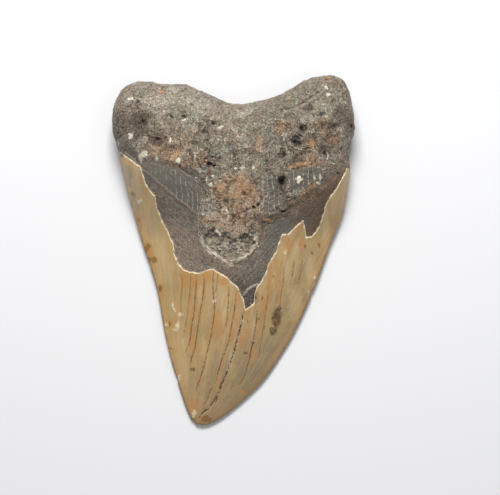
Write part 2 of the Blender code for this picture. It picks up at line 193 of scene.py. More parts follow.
# The cracks of the enamel: half a width, a depth, and the points that each runs through
HAIR, FINE, OPEN = (0.10, 0.05), (0.17, 0.10), (0.30, 0.22)
LINGUAL_CRACKS = (
    (HAIR, (-17.9, -8.0), (-17.5, -11.7), (-17.9, -16.8), (-18.0, -20.9)),
    (HAIR, (-14.5, -8.3), (-14.8, -12.8), (-15.1, -16.2), (-15.5, -19.2), (-16.0, -23.0),
     (-16.5, -26.0), (-17.2, -29.4)),
    (FINE, (-12.4, -8.3), (-12.8, -12.8), (-13.1, -16.8), (-13.6, -21.6), (-14.3, -26.4),
     (-15.0, -30.8), (-16.2, -34.5)),
    (FINE, (-10.0, -8.3), (-10.0, -12.1), (-10.5, -16.2), (-11.4, -20.9), (-12.1, -25.7),
     (-12.8, -30.4), (-13.3, -33.5), (-14.3, -36.6), (-14.8, -39.6)),
    (FINE, (-6.8, -7.0), (-7.0, -11.4), (-6.8, -15.8), (-6.5, -19.6), (-6.8, -23.3),
     (-7.5, -27.7), (-8.2, -31.1), (-9.0, -34.5), (-9.7, -37.9), (-10.5, -40.6), (-11.6, -44.0),
     (-12.9, -47.8)),
    (FINE, (-1.5, -12.1), (-1.7, -15.8), (-2.0, -19.6), (-2.2, -22.3), (-2.6, -25.7)),
    (FINE, (0.9, -13.8), (0.5, -17.9), (0.0, -21.9), (-0.9, -26.4), (-1.5, -30.1),
     (-2.7, -33.5), (-4.1, -37.2), (-5.1, -40.6), (-6.3, -44.7), (-8.0, -48.1), (-9.2, -51.2),
     (-10.4, -52.5)),
    (OPEN, (3.2, -20.9), (2.7, -24.0), (1.7, -28.1), (0.7, -32.1), (-0.3, -35.5), (-1.5, -38.9),
     (-2.7, -42.3), (-4.2, -45.4), (-5.4, -48.5), (-7.0, -51.5), (-8.7, -53.6), (-10.7, -55.6),
     (-12.0, -57.3)),
    (FINE, (-3.1, -43.7), (-4.1, -46.1), (-5.1, -48.8), (-5.8, -50.8), (-6.5, -52.2)),
    (FINE, (8.0, -20.6), (7.5, -25.7), (6.6, -30.4), (5.8, -34.5), (5.1, -37.6), (4.1, -41.3),
     (3.1, -43.7), (1.9, -45.7)),
    (HAIR, (11.7, -12.1), (11.4, -16.8), (10.7, -21.9), (9.9, -27.0), (9.2, -32.1), (8.3, -36.2)),
    (HAIR, (17.2, -6.0), (16.7, -10.7), (16.0, -15.5), (15.6, -18.9)),
    (HAIR, (20.6, -3.2), (19.9, -8.3), (19.0, -12.8)),
    (HAIR, (23.5, -1.9), (23.0, -5.3), (22.3, -9.4), (21.8, -11.4)),
    (HAIR, (-0.2, -44.0), (-1.0, -47.8)),
    (HAIR, (12.8, -4.6), (12.2, -7.0)),
    (HAIR, (-5.3, -7.7), (-5.7, -11.4), (-6.0, -14.8)),
    (HAIR, (15.1, -12.8), (14.3, -17.5)),
)
LABIAL_CRACKS = (
    (HAIR, (-24.0, 22.0), (-22.5, 12.0), (-20.5, 0.0), (-19.6, -9.0)),
    (FINE, (-13.0, 21.0), (-12.2, 8.0), (-12.4, -6.0), (-13.1, -20.0), (-14.0, -33.0)),
    (HAIR, (-5.0, 20.0), (-4.6, 9.0), (-5.2, -3.0), (-6.0, -14.0)),
    (OPEN, (3.0, 20.0), (2.6, 8.0), (1.6, -6.0), (-0.4, -20.0), (-3.6, -33.0), (-7.6, -46.0)),
    (FINE, (12.0, 20.0), (11.6, 8.0), (9.6, -6.0), (6.4, -20.0)),
    (HAIR, (21.0, 22.0), (20.4, 12.0), (18.2, 0.0), (15.4, -12.0)),
    (HAIR, (28.0, 24.0), (27.2, 14.0), (25.2, 3.0)),
)

# Stains, crusts and patches of painted shade: x, y, half a width and half a length
LINGUAL_MARKS = {
    "rust": (
        (-16.4, -9.4, 1.6, 3.0), (-13.4, -10.4, 1.3, 3.0), (-11.2, -10.0, 1.0, 2.4),
        (-8.9, -8.8, 1.0, 2.2), (-3.4, -10.6, 1.6, 1.6), (1.6, -16.4, 0.8, 3.2), (0.8, -22.8, 0.6, 2.6),
        (4.4, -21.5, 0.9, 2.0), (4.0, -27.0, 0.8, 3.4), (-5.2, -26.0, 1.4, 4.6), (-12.6, -19.5, 0.7, 3.6),
        (-8.6, -29.0, 0.7, 3.6), (-0.6, -27.4, 0.8, 3.2), (2.3, -31.0, 1.3, 3.0), (-14.0, -31.0, 1.0, 3.2),
        (12.2, -11.4, 0.8, 5.2), (10.2, -20.0, 0.7, 4.4), (14.3, -3.5, 0.8, 3.0), (18.6, 1.9, 1.4, 2.6),
        (23.0, 2.6, 1.0, 2.2), (21.6, 7.7, 0.9, 1.2), (-24.3, -14.2, 1.1, 2.6), (-21.7, -24.8, 1.6, 1.6),
        (-29.0, -1.4, 1.4, 3.4), (-32.1, 9.6, 1.0, 2.4), (-30.8, 24.2, 0.6, 1.6), (2.6, -48.3, 1.2, 0.9),
        (-13.6, -53.0, 1.6, 2.6), (8.2, -31.3, 0.4, 0.4), (15.8, -12.0, 0.5, 3.6), (6.9, -35.6, 0.7, 3.0),
        (-22.6, 34.2, 5.8, 3.4), (-25.0, 36.9, 2.7, 1.4), (3.6, 20.4, 3.8, 3.6),
        (-4.2, 19.8, 3.2, 2.8), (1.6, 12.6, 1.4, 2.4), (22.8, 27.9, 4.6, 0.9),
        (24.7, 19.9, 2.4, 2.7), (26.4, 35.5, 2.2, 2.0), (33.6, 37.0, 3.0, 1.6),
        (-24.0, 53.9, 1.4, 1.7), (8.0, 35.5, 1.0, 2.0), (16.0, 41.2, 2.6, 2.4), (31.1, 58.0, 1.0, 1.4),
        (-11.4, 30.8, 3.4, 2.0), (25.3, 29.8, 3.6, 1.7), (-17.6, 28.9, 4.4, 1.2), (30.4, 41.4, 3.0, 2.4),
    ),
    "orange": (
        (2.2, 21.8, 2.0, 2.1), (-0.3, 17.8, 1.0, 1.0), (5.6, 20.0, 2.0, 1.2), (23.6, 28.8, 3.4, 0.6),
        (20.2, 27.9, 1.8, 0.5), (27.1, 31.6, 0.7, 1.6), (26.9, 21.4, 1.0, 0.8), (25.0, 20.1, 0.9, 0.8),
        (23.2, 17.9, 1.1, 0.9), (19.8, 15.8, 1.1, 0.7), (11.4, 10.3, 1.7, 0.5), (-9.3, 9.9, 1.6, 1.0),
        (-14.0, 13.8, 0.8, 0.7), (-11.8, 10.9, 0.8, 0.7), (26.0, 35.5, 1.2, 1.1), (33.7, 37.0, 1.3, 0.9),
        (-19.6, 32.0, 1.4, 0.9), (-24.4, 53.6, 0.9, 0.9), (32.0, 58.6, 0.8, 0.5), (8.6, 36.6, 0.7, 1.8),
        (8.9, 34.0, 0.6, 0.6), (7.6, 2.7, 0.7, 1.4), (-5.0, 8.6, 1.4, 0.6), (-4.4, 21.0, 1.2, 1.0),
    ),
    "yellow": (
        (1.2, 47.8, 3.4, 1.7), (-10.4, 48.4, 3.0, 2.0), (8.3, 36.9, 1.4, 2.7), (-8.0, 37.6, 2.7, 1.4),
        (-18.0, 51.0, 5.0, 3.0), (-28.0, 51.0, 3.0, 2.0), (28.0, 47.0, 4.0, 3.0),
        (-15.6, 28.4, 4.6, 1.6), (-22.5, -20.0, 2.4, 5.4), (-20.2, -11.0, 1.8, 4.0),
        (-9.4, -14.1, 1.2, 3.4), (-5.0, -45.7, 0.9, 3.2), (-1.2, -47.0, 0.9, 2.6),
        (14.6, -24.4, 2.4, 5.0), (19.0, -23.0, 1.6, 2.2), (-0.2, -40.6, 1.2, 3.4),
        (20.4, 3.4, 0.8, 3.0), (-31.0, 20.6, 0.8, 3.4), (-26.9, 12.4, 0.7, 4.4),
    ),
    # dark stains and moss, and painted shade on the lobes' sides and in some pits
    "dark": (
        (-34.5, 41.5, 4.8, 3.8), (-30.8, 43.2, 2.2, 2.0), (-38.2, 43.0, 3.4, 4.4),
        (-25.6, 36.8, 2.6, 1.4), (-21.6, 34.6, 2.0, 1.0), (33.0, 37.6, 2.4, 1.2), (27.0, 36.4, 1.2, 0.9),
        (36.8, 45.6, 3.0, 3.0), (9.4, 10.6, 2.0, 1.6),
        (-35.6, 32.4, 3.0, 0.9), (-33.2, 30.6, 1.4, 1.0), (39.6, 41.8, 1.6, 2.2),
        (31.6, 41.6, 2.4, 1.6), (21.0, 36.4, 1.6, 1.4), (22.6, 40.8, 0.9, 1.8), (-7.3, 28.7, 1.6, 1.0),
        (16.2, 22.6, 1.4, 2.4), (30.1, 33.5, 2.0, 1.7), (25.3, 47.8, 1.4, 1.2), (16.5, 31.5, 1.2, 1.4),
        (-25.3, 37.2, 2.2, 0.9), (-9.4, 39.6, 0.9, 0.9), (16.8, 13.1, 1.4, 0.7), (5.6, -15.8, 2.0, 2.4),
        (14.7, -22.2, 1.3, 2.5), (14.0, -24.8, 0.6, 1.0), (13.3, -27.4, 1.1, 1.3), (15.6, -20.0, 0.6, 1.0),
        (-13.5, -40.4, 0.7, 0.3), (3.9, -34.9, 0.6, 0.4), (6.5, -31.3, 0.4, 0.3),
    ),
    # painted shade in the deep holes
    "hole": (
        (-6.6, 42.6, 0.8, 0.4), (-9.5, 40.2, 0.3, 0.3), (-8.0, 29.0, 0.8, 0.5), (-6.6, 28.2, 0.5, 0.4),
        (-20.4, 47.3, 0.3, 0.25), (-35.2, 48.2, 0.25, 0.25), (-16.5, 44.7, 0.35, 0.3),
        (22.9, 40.9, 0.4, 1.0), (29.4, 45.4, 0.35, 0.35), (39.6, 41.6, 0.5, 0.6),
        (20.6, 36.4, 0.8, 0.4), (21.8, 35.8, 0.5, 0.5), (16.5, 31.8, 0.4, 0.5), (30.6, 32.6, 0.4, 0.4),
        (16.7, 24.1, 0.6, 0.7), (16.1, 22.9, 0.6, 1.0), (15.8, 21.4, 0.4, 0.6), (16.5, 13.1, 0.8, 0.35),
        (35.2, 25.9, 0.4, 0.3), (-25.6, 37.3, 0.9, 0.3), (8.4, 15.4, 0.35, 0.5), (-30.4, 43.6, 0.4, 0.6),
        (7.0, 14.2, 0.6, 0.25), (4.4, 13.9, 0.5, 0.25), (-21.0, 44.8, 0.3, 0.25), (-31.6, 42.8, 0.3, 0.3),
    ),
    "blot": (
        (-34.2, 19.2, 0.6, 0.9), (-29.8, 0.5, 0.7, 0.9), (-29.1, 1.7, 0.7, 0.9),
        (-27.2, -3.3, 0.7, 1.2), (-28.5, -3.0, 0.6, 0.7), (-24.9, -13.0, 0.7, 1.2),
        (14.5, -23.0, 1.5, 3.4), (-13.8, -40.5, 0.8, 0.6), (3.9, -34.9, 0.7, 0.6), (26.5, -1.0, 0.5, 0.4),
        (28.9, 1.9, 0.4, 0.9), (-32.1, 10.3, 0.4, 0.6), (-9.4, -57.4, 1.9, 1.0), (-22.0, -25.0, 0.7, 0.7),
        (17.0, -33.4, 0.4, 0.4), (-21.3, -33.4, 0.4, 0.5), (24.2, 1.4, 0.3, 0.8), (13.3, -8.4, 0.3, 0.7),
        (5.0, -24.0, 0.3, 0.8), (9.8, -16.2, 0.3, 0.9), (10.4, -26.4, 0.3, 0.7), (8.6, -23.0, 0.3, 0.6),
    ),
    "slate": (
        (3.9, 42.7, 4.1, 1.4), (17.5, 47.8, 4.1, 3.4), (-36.9, 37.6, 2.0, 2.7), (4.9, -45.0, 7.8, 6.5),
        (14.6, -36.0, 4.4, 6.0), (24.0, -22.0, 2.6, 7.0), (-4.6, -40.6, 2.4, 4.8), (-36.9, 26.0, 1.8, 2.4),
        (-32.4, 18.4, 1.5, 5.0), (-35.0, 24.2, 1.5, 3.0), (-27.6, 9.0, 1.3, 4.0),
        (-9.2, -49.4, 1.8, 3.6), (-9.7, -13.0, 0.35, 4.4),
        (-6.3, -19.4, 0.4, 1.4), (22.2, -7.0, 0.5, 4.4), (34.0, 10.4, 1.4, 5.4), (-16.6, 45.0, 5.0, 4.0),
        (-4.0, 34.0, 5.0, 3.0), (12.0, 40.0, 4.0, 5.0), (-5.6, 24.2, 1.8, 1.8), (-9.6, 15.4, 2.6, 4.0),
        (5.6, 23.4, 1.6, 1.2), (5.8, 11.0, 1.2, 1.8), (34.0, 47.6, 3.4, 3.0),
    ),
    "pale": (
        (-10.6, 49.1, 2.6, 1.8), (-12.9, 47.2, 1.6, 1.4), (-9.3, 47.4, 2.2, 1.4),
        (-4.4, 40.8, 1.6, 0.7), (2.2, 45.4, 1.6, 1.3), (-34.6, 50.8, 1.3, 0.9),
        (-20.5, 53.6, 1.8, 2.0), (-19.2, 50.8, 2.2, 1.6), (-15.8, 50.6, 2.4, 1.7),
        (30.6, 47.4, 3.4, 2.4), (26.0, 44.6, 2.4, 1.6), (-26.0, 50.4, 4.0, 2.4), (-9.2, 14.0, 1.8, 3.4),
        (-16.2, 43.4, 1.1, 0.8), (-13.0, 40.6, 1.0, 1.2), (-34.3, 38.0, 1.6, 1.8),
        (-29.6, 37.4, 0.8, 1.2), (-12.6, 31.4, 1.0, 1.6), (-25.8, 54.4, 1.2, 0.8),
        (-6.0, 37.4, 2.0, 1.0), (5.2, 47.2, 1.2, 1.0), (3.0, 31.0, 2.4, 1.4), (8.0, 29.4, 2.0, 1.0),
        (-5.4, 23.6, 1.4, 1.6), (29.0, 32.4, 1.6, 1.2), (24.2, 43.6, 1.2, 0.8), (17.0, 38.4, 1.0, 0.8),
        (-37.6, 36.4, 1.2, 1.0), (-8.8, 8.6, 1.4, 0.8), (12.0, 10.0, 1.6, 0.7), (5.0, 1.2, 1.4, 0.8),
        (3.1, 27.4, 2.4, 1.2), (11.4, 21.6, 2.0, 3.4), (-14.4, 7.2, 2.8, 3.2), (17.2, 31.4, 1.6, 2.0),
        (-8.3, -13.5, 1.1, 4.4), (-4.9, -13.8, 0.9, 2.4), (-3.8, -12.2, 0.8, 0.9),
        (-11.2, -15.0, 0.5, 5.0), (-24.6, -3.0, 2.2, 8.0), (-27.8, 10.0, 2.0, 8.0),
        (-32.4, 22.0, 1.6, 7.0), (-30.6, 12.0, 1.0, 6.0), (19.0, -10.4, 1.1, 5.6),
        (17.4, -3.4, 0.8, 4.0), (21.2, -2.2, 0.8, 4.6), (21.0, -18.0, 2.0, 5.0), (26.0, -6.6, 1.4, 5.0),
        (-17.6, -37.0, 2.2, 9.0), (31.2, 8.0, 1.2, 7.0), (33.8, 17.0, 1.2, 5.0), (13.5, -9.4, 0.5, 5.4),
        (-21.6, -8.0, 0.9, 4.0), (-2.8, -18.4, 1.2, 4.6), (20.2, 2.0, 1.6, 3.0),
        (-1.0, -36.0, 0.5, 3.6), (-10.2, -33.0, 0.8, 3.6), (6.6, -24.6, 0.5, 5.0),
    ),
    "crust": (
        (-29.9, 32.2, 1.0, 1.3), (-30.9, 31.0, 1.0, 1.3), (-25.6, 30.4, 0.6, 0.6),
        (-18.4, 29.7, 0.6, 1.1), (-34.4, 38.2, 0.7, 0.9), (-39.0, 36.0, 0.5, 0.5),
        (-21.2, 36.9, 0.4, 0.9), (-34.9, 50.8, 0.9, 0.5), (31.1, 54.9, 0.5, 0.6),
        (31.8, 52.4, 0.7, 0.5), (21.9, 23.9, 0.9, 0.9), (22.0, 22.8, 0.6, 0.5), (-30.4, 57.3, 0.3, 0.3),
        (-4.2, 41.0, 0.8, 0.3), (-12.8, 31.5, 0.3, 1.2), (-4.6, 0.3, 0.5, 0.5),
        (-3.8, -0.5, 0.4, 0.5), (7.9, 1.8, 0.4, 0.7), (-20.6, -19.2, 0.5, 1.5), (-18.2, -21.8, 1.0, 0.6),
        (-23.2, -25.3, 0.8, 0.3), (-19.1, -25.7, 0.5, 1.3), (-20.0, -27.2, 0.8, 0.3),
        (-18.9, -43.4, 0.4, 0.8), (-18.3, -42.6, 0.3, 0.4), (-13.9, -55.6, 0.5, 1.1),
        (-31.8, 16.6, 0.8, 0.8), (-6.6, -17.2, 0.5, 0.4), (-5.9, -14.8, 0.2, 0.4), (17.6, -0.6, 0.5, 0.5),
        (27.6, -9.4, 0.3, 0.6), (25.4, -14.0, 0.25, 0.5), (38.6, 18.2, 0.4, 0.8), (-16.5, 43.7, 0.8, 0.3),
        (29.1, 24.4, 0.4, 1.4), (28.2, 22.5, 0.7, 0.4), (27.2, 24.0, 0.3, 0.6), (31.6, 31.6, 0.2, 1.0),
        (33.4, 29.2, 0.9, 0.2), (-7.6, 21.9, 0.8, 0.6), (-8.8, 23.4, 0.3, 1.1), (3.1, 27.6, 1.0, 0.4),
        (6.6, 27.4, 0.4, 0.8), (-6.7, 24.6, 0.5, 0.4), (0.8, 27.2, 0.5, 0.3), (-12.4, 24.2, 0.3, 0.3),
    ),
}
CRUMBLY = (  # where the bone is worn into lumps and crevices
    (0.0, 14.0, 15.0, 14.0), (-10.0, 30.0, 6.0, 5.0), (21.0, 36.0, 6.0, 8.0), (6.0, 31.0, 8.0, 4.0),
    (28.0, 42.0, 6.0, 5.0), (-30.0, 40.0, 6.0, 6.0), (22.0, 17.0, 6.0, 4.0), (-8.0, 40.0, 5.0, 4.0),
)
MIDDLE = ((0.8, 15.5, 7.6, 8.2),)  # where the lumps are tall and pale
LABIAL_MARKS = {
    "rust": (
        (-20.0, 33.0, 5.0, 3.0), (14.0, 38.0, 6.0, 3.5), (-6.0, 14.0, 3.0, 6.0),
        (8.0, -10.0, 2.0, 7.0), (-12.0, -40.0, 3.0, 5.0), (26.0, 12.0, 2.5, 5.0),
    ),
    "orange": ((-8.0, 46.0, 1.6, 1.0), (18.0, 30.0, 2.0, 1.0), (-27.0, 38.0, 1.2, 1.6)),
    "yellow": ((-24.0, 8.0, 3.0, 8.0), (4.0, -28.0, 3.0, 7.0), (30.0, 50.0, 4.0, 3.0)),
    "dark": ((-31.0, 44.0, 4.0, 3.0), (3.0, 40.0, 5.0, 3.0), (27.0, 34.0, 3.0, 2.0)),
    # painted shade in the deep holes
    "hole": (
        (-22.0, 44.0, 0.8, 0.6), (-12.0, 38.0, 0.6, 0.9), (6.0, 46.0, 0.7, 0.5),
        (19.0, 36.0, 1.0, 0.6), (30.0, 44.0, 0.6, 0.7), (-33.0, 40.0, 0.5, 0.7),
    ),
    "blot": ((-20.0, -12.0, 0.8, 1.4), (17.0, -8.0, 0.9, 1.2), (4.0, -38.0, 0.8, 0.8)),
    "slate": ((16.0, -2.0, 5.0, 12.0), (-10.0, -6.0, 4.0, 12.0), (-14.0, 46.0, 6.0, 4.0)),
    "pale": ((-16.0, 40.0, 4.0, 3.0), (22.0, 48.0, 3.0, 2.0), (4.0, 28.0, 5.0, 2.0)),
    "crust": (
        (-26.0, 30.0, 1.2, 0.8), (10.0, 26.0, 1.6, 0.9), (31.0, 40.0, 0.9, 1.3),
        (-18.0, 3.0, 1.0, 1.6), (20.0, -12.0, 0.8, 1.2),
    ),
}

# ------------------------------------------------------------------------ settings


class ToothSizes(bpy.types.PropertyGroup):
    """Sizes of the tooth's surface"""

    enamel_thickness: bpy.props.FloatProperty(
        name="Enamel Thickness", description="Step from the enamel down to the bare dentine",
        default=0.9 * MM, unit="LENGTH", precision=5)
    break_slope: bpy.props.FloatProperty(
        name="Break Slope", description="Width of the enamel's broken edge",
        default=0.34 * MM, unit="LENGTH", precision=5)
    root_spacing: bpy.props.FloatProperty(
        name="Root Spacing", description="Distance between the points of the root's upper face",
        default=0.32 * MM, unit="LENGTH", precision=5)
    crown_spacing: bpy.props.FloatProperty(
        name="Crown Spacing", description="Distance between the points of the enamel's upper face",
        default=0.55 * MM, unit="LENGTH", precision=5)
    lower_spacing: bpy.props.FloatProperty(
        name="Lower Spacing", description="How much coarser the lower face is than the upper",
        default=1.5)
    grain_size: bpy.props.FloatProperty(
        name="Grain Size", description="Width of the lumps of the root's porous bone",
        default=1.1 * MM, unit="LENGTH", precision=5)
    grain_height: bpy.props.FloatProperty(
        name="Grain Height", description="How far the lumps of the bone stand out",
        default=0.34 * MM, unit="LENGTH", precision=5)
    pore_spacing: bpy.props.FloatProperty(
        name="Pore Spacing", description="Distance between the pores of the bone",
        default=2.3 * MM, unit="LENGTH", precision=5)
    pore_depth: bpy.props.FloatProperty(
        name="Pore Depth", description="Depth of the pores of the bone",
        default=0.5 * MM, unit="LENGTH", precision=5)
    fibre_height: bpy.props.FloatProperty(
        name="Fibre Height", description="Height of the fine ridges along the crown",
        default=0.05 * MM, unit="LENGTH", precision=5)
    relief_seed: bpy.props.IntProperty(
        name="Relief Seed", description="Seed of the bone's lumps and pores", default=7)


def colour_property(name, description, colour):
    """A colour, in linear red, green, blue and alpha."""
    return bpy.props.FloatVectorProperty(
        name=name, description=description, default=colour, size=4, subtype="COLOR", min=0, max=1)


class ToothColours(bpy.types.PropertyGroup):
    """Colours of the tooth, all of them linear"""

    enamel: colour_property("Enamel", "Tan of the enamel", (0.53, 0.33, 0.12, 1))
    enamel_pale: colour_property("Pale Enamel", "Worn pale streaks", (0.66, 0.475, 0.235, 1))
    enamel_silver: colour_property("Silver Enamel", "Bleached streaks", (0.49, 0.368, 0.21, 1))
    enamel_grey: colour_property("Grey Enamel", "Grey olive patches", (0.205, 0.16, 0.094, 1))
    enamel_lilac: colour_property("Lilac Enamel", "Cool grey patches", (0.30, 0.25, 0.195, 1))
    enamel_orange: colour_property("Stained Enamel", "Iron stains", (0.50, 0.222, 0.055, 1))
    enamel_olive: colour_property("Olive Enamel", "Yellow olive patches", (0.43, 0.30, 0.10, 1))
    enamel_brown: colour_property("Brown Enamel", "Brown blots", (0.245, 0.115, 0.022, 1))
    crack: colour_property("Crack", "Dirt in the cracks", (0.05, 0.036, 0.018, 1))
    fracture: colour_property("Fracture", "Fresh edge of the enamel", (0.90, 0.80, 0.60, 1))
    bone_light: colour_property("Light Bone", "Light grains of the root", (0.52, 0.455, 0.365, 1))
    bone_dark: colour_property("Dark Bone", "Dark grains of the root", (0.155, 0.124, 0.090, 1))
    bone_green: colour_property("Green Bone", "Tint of the cool patches", (0.86, 0.93, 0.90, 1))
    bone_purple: colour_property("Brown Bone", "Tint of the warm patches", (0.92, 0.73, 0.60, 1))
    pore: colour_property("Pore", "Bottom of the pores", (0.030, 0.024, 0.019, 1))
    rust: colour_property("Rust", "Iron stains of the root", (0.60, 0.365, 0.20, 1))
    rust_dark: colour_property("Dark Rust", "Dark iron stains", (0.17, 0.10, 0.06, 1))
    ochre: colour_property("Ochre", "Yellow grains of the root", (0.48, 0.37, 0.20, 1))
    dentine: colour_property("Dentine", "Bare dentine", (0.118, 0.082, 0.06, 1))
    dentine_light: colour_property("Light Dentine", "Worn dentine", (0.34, 0.255, 0.19, 1))
    dentine_grey: colour_property("Grey Dentine", "Cool patches of it", (0.255, 0.232, 0.192, 1))
    slate: colour_property("Slate", "Striated band below the root", (0.094, 0.083, 0.067, 1))
    crust: colour_property("Crust", "Pale crusts and grains", (0.90, 0.83, 0.67, 1))


class StageSettings(bpy.types.PropertyGroup):
    """The table, the lights and the camera"""

    table_colour: colour_property("Table", "Colour of the table", (0.77, 0.77, 0.78, 1))
    camera_height: bpy.props.FloatProperty(
        name="Camera Height", description="Height of the camera over the table",
        default=0.9, unit="LENGTH")
    view_width: bpy.props.FloatProperty(
        name="View Width", description="Width of the table that the camera sees",
        default=0.1708, unit="LENGTH")
    view_x: bpy.props.FloatProperty(
        name="View X", description="Middle of the view", default=0.0055, unit="LENGTH")
    view_y: bpy.props.FloatProperty(
        name="View Y", description="Middle of the view", default=0.001, unit="LENGTH")
    key_power: bpy.props.FloatProperty(
        name="Key Power", description="Power of the main light", default=5.2, unit="POWER")
    fill_power: bpy.props.FloatProperty(
        name="Fill Power", description="Power of the wide light", default=0.9, unit="POWER")
    sky: bpy.props.FloatProperty(
        name="Sky", description="Strength of the light from all round", default=0.30)


# ------------------------------------------------------------------------ lines in the plan


def even_line(points, spacing):
    """The same polyline, read at an even spacing."""
    points = np.array(points, float)
    steps = np.hypot(*np.diff(points, axis=0).T)
    along = np.concatenate(([0], np.cumsum(steps)))
    count = max(2, round(along[-1] / spacing) + 1)
    stops = np.linspace(0, along[-1], count)
    return np.column_stack((np.interp(stops, along, points[:, 0]),
                            np.interp(stops, along, points[:, 1])))


def smooth_line(points, spacing):
    """A Catmull-Rom curve through the points, read at an even spacing."""
    points = np.array(points, float)
    points = np.vstack((2 * points[0] - points[1], points, 2 * points[-1] - points[-2]))
    t = np.linspace(0, 1, 24, endpoint=False)[:, None]
    spans = []
    for a, b, c, d in zip(points, points[1:], points[2:], points[3:]):
        spans.append(b + (c - a) * t / 2 + (2 * a - 5 * b + 4 * c - d) * t**2 / 2
                     + (3 * b - a - 3 * c + d) * t**3 / 2)
    spans.append(points[-2][None])
    return even_line(np.vstack(spans), spacing)


def split_line(points, spacing):
    """The same polyline with its corners kept and its long runs cut up."""
    runs = [even_line((a, b), spacing)[:-1] for a, b in zip(points, points[1:])]
    return np.vstack(runs + [np.array(points[-1:], float)])


def shaken(points, reach, length, seed):
    """The points, each moved about by a noise in the plan."""
    shake = []
    for x, y in points:
        here = Vector((x, y, seed)) / length
        shake.append((noise.noise_vector(here) + 0.5 * noise.noise_vector(here * 2.7))[:2])
    return points + reach * np.array(shake)


def shaken_line(line, reach, length, seed):
    """The same polyline, shaken by a noise that leaves its two ends where they are."""
    number = np.arange(len(line))
    hold = np.clip(np.minimum(number, number[::-1]) / 4, 0, 1)[:, None]
    return (1 - hold) * line + hold * shaken(line, reach, length, seed)


def left_of(line, closed=False):
    """The unit vectors that point to the left of a line at each of its points."""
    if closed:
        along = np.roll(line, -1, axis=0) - np.roll(line, 1, axis=0)
    else:
        along = np.vstack((line[1:2] - line[:1], line[2:] - line[:-2], line[-1:] - line[-2:-1]))
    return np.column_stack((-along[:, 1], along[:, 0])) / np.hypot(*along.T)[:, None]


def in_batches(measure, points, size=1500):
    """Run a measure over the points a batch at a time, to keep its tables small."""
    return np.concatenate([measure(points[i:i + size]) for i in range(0, len(points), size)])


def line_distance(points, line):
    """How far each point is from an open polyline."""
    start, run = line[:-1], np.diff(line, axis=0)
    length = (run**2).sum(-1)

    def measure(batch):
        offset = batch[:, None] - start
        share = np.clip((offset * run).sum(-1) / length, 0, 1)
        gap = offset - share[..., None] * run
        return np.sqrt((gap**2).sum(-1).min(1))
    return in_batches(measure, points)


def is_inside(points, loop):
    """Whether each point is inside a closed polygon, by counting the edges that it is left of."""
    (x0, y0), (x1, y1) = loop.T, np.roll(loop, -1, axis=0).T
    rise = np.where(y1 == y0, 1, y1 - y0)

    def measure(batch):
        x, y = batch.T[:, :, None]
        spans = (y0 > y) != (y1 > y)
        return (spans & (x < x0 + (y - y0) * (x1 - x0) / rise)).sum(1) % 2 == 1
    return in_batches(measure, points)


def height_over(points, line):
    """The signed distance from a line that runs from left to right, above it positive."""
    left, right = line[0], line[-1]
    far = ((right[0] + 99, right[1]), (right[0] + 99, 199), (left[0] - 99, 199),
           (left[0] - 99, left[1]))
    above = is_inside(points, np.vstack((line, far)))
    return np.where(above, 1, -1) * line_distance(points, line)


def depth_in(points, loop):
    """The signed distance from a closed loop, inside it positive."""
    loop = np.array(loop, float)
    sign = np.where(is_inside(points, loop), 1, -1)
    return sign * line_distance(points, np.vstack((loop, loop[:1])))


def inset(points, loop):
    """How deep each point is in a loop: its distance near an edge, and smooth everywhere.

    This is 2 over the sum of the mean value weights of the loop's corners.
    """
    def measure(batch):
        to = loop - batch[:, None]
        after = np.roll(to, -1, axis=1)
        radius = np.hypot(to[..., 0], to[..., 1])
        radius_after = np.roll(radius, -1, axis=1)
        dot = (to * after).sum(-1)
        cross = to[..., 0] * after[..., 1] - to[..., 1] * after[..., 0]
        half_tangent = cross / np.maximum(radius * radius_after + dot, 1e-9)
        weights = half_tangent * (1 / radius + 1 / radius_after)
        return 2 / np.maximum(weights.sum(1), 1e-6)
    return in_batches(measure, points, 500)


def smooth_step(low, high, value):
    """From 0 at low, or before it, to 1 at high, with soft ends."""
    share = np.clip((value - low) / (high - low), 0, 1)
    return share * share * (3 - 2 * share)


def quarter_round(value, radius):
    """A quarter circle's rise, from 0 at the value 0 to 1 at the radius and past it."""
    return np.sqrt(1 - (1 - np.clip(value / radius, 0, 1))**2)


# ------------------------------------------------------------------------ the outline

EDGE_SPACING = 0.36
SERRATION_PITCH = 1.05  # worn until little more than a ripple is left
SERRATION_DEPTH = 0.11
ROOT_EDGE_SHAKE = 0.16
EDGE_NICKS = (  # x, y, radius and depth of the chips in the cutting edges
    (38.7, 18.0, 1.1, 0.45), (-19.6, -43.4, 1.0, 0.35), (-13.6, -58.4, 0.9, 0.3),
    (26.6, -14.6, 1.2, 0.3), (-29.0, -3.4, 0.9, 0.3), (-35.0, 15.6, 0.8, 0.25),
)


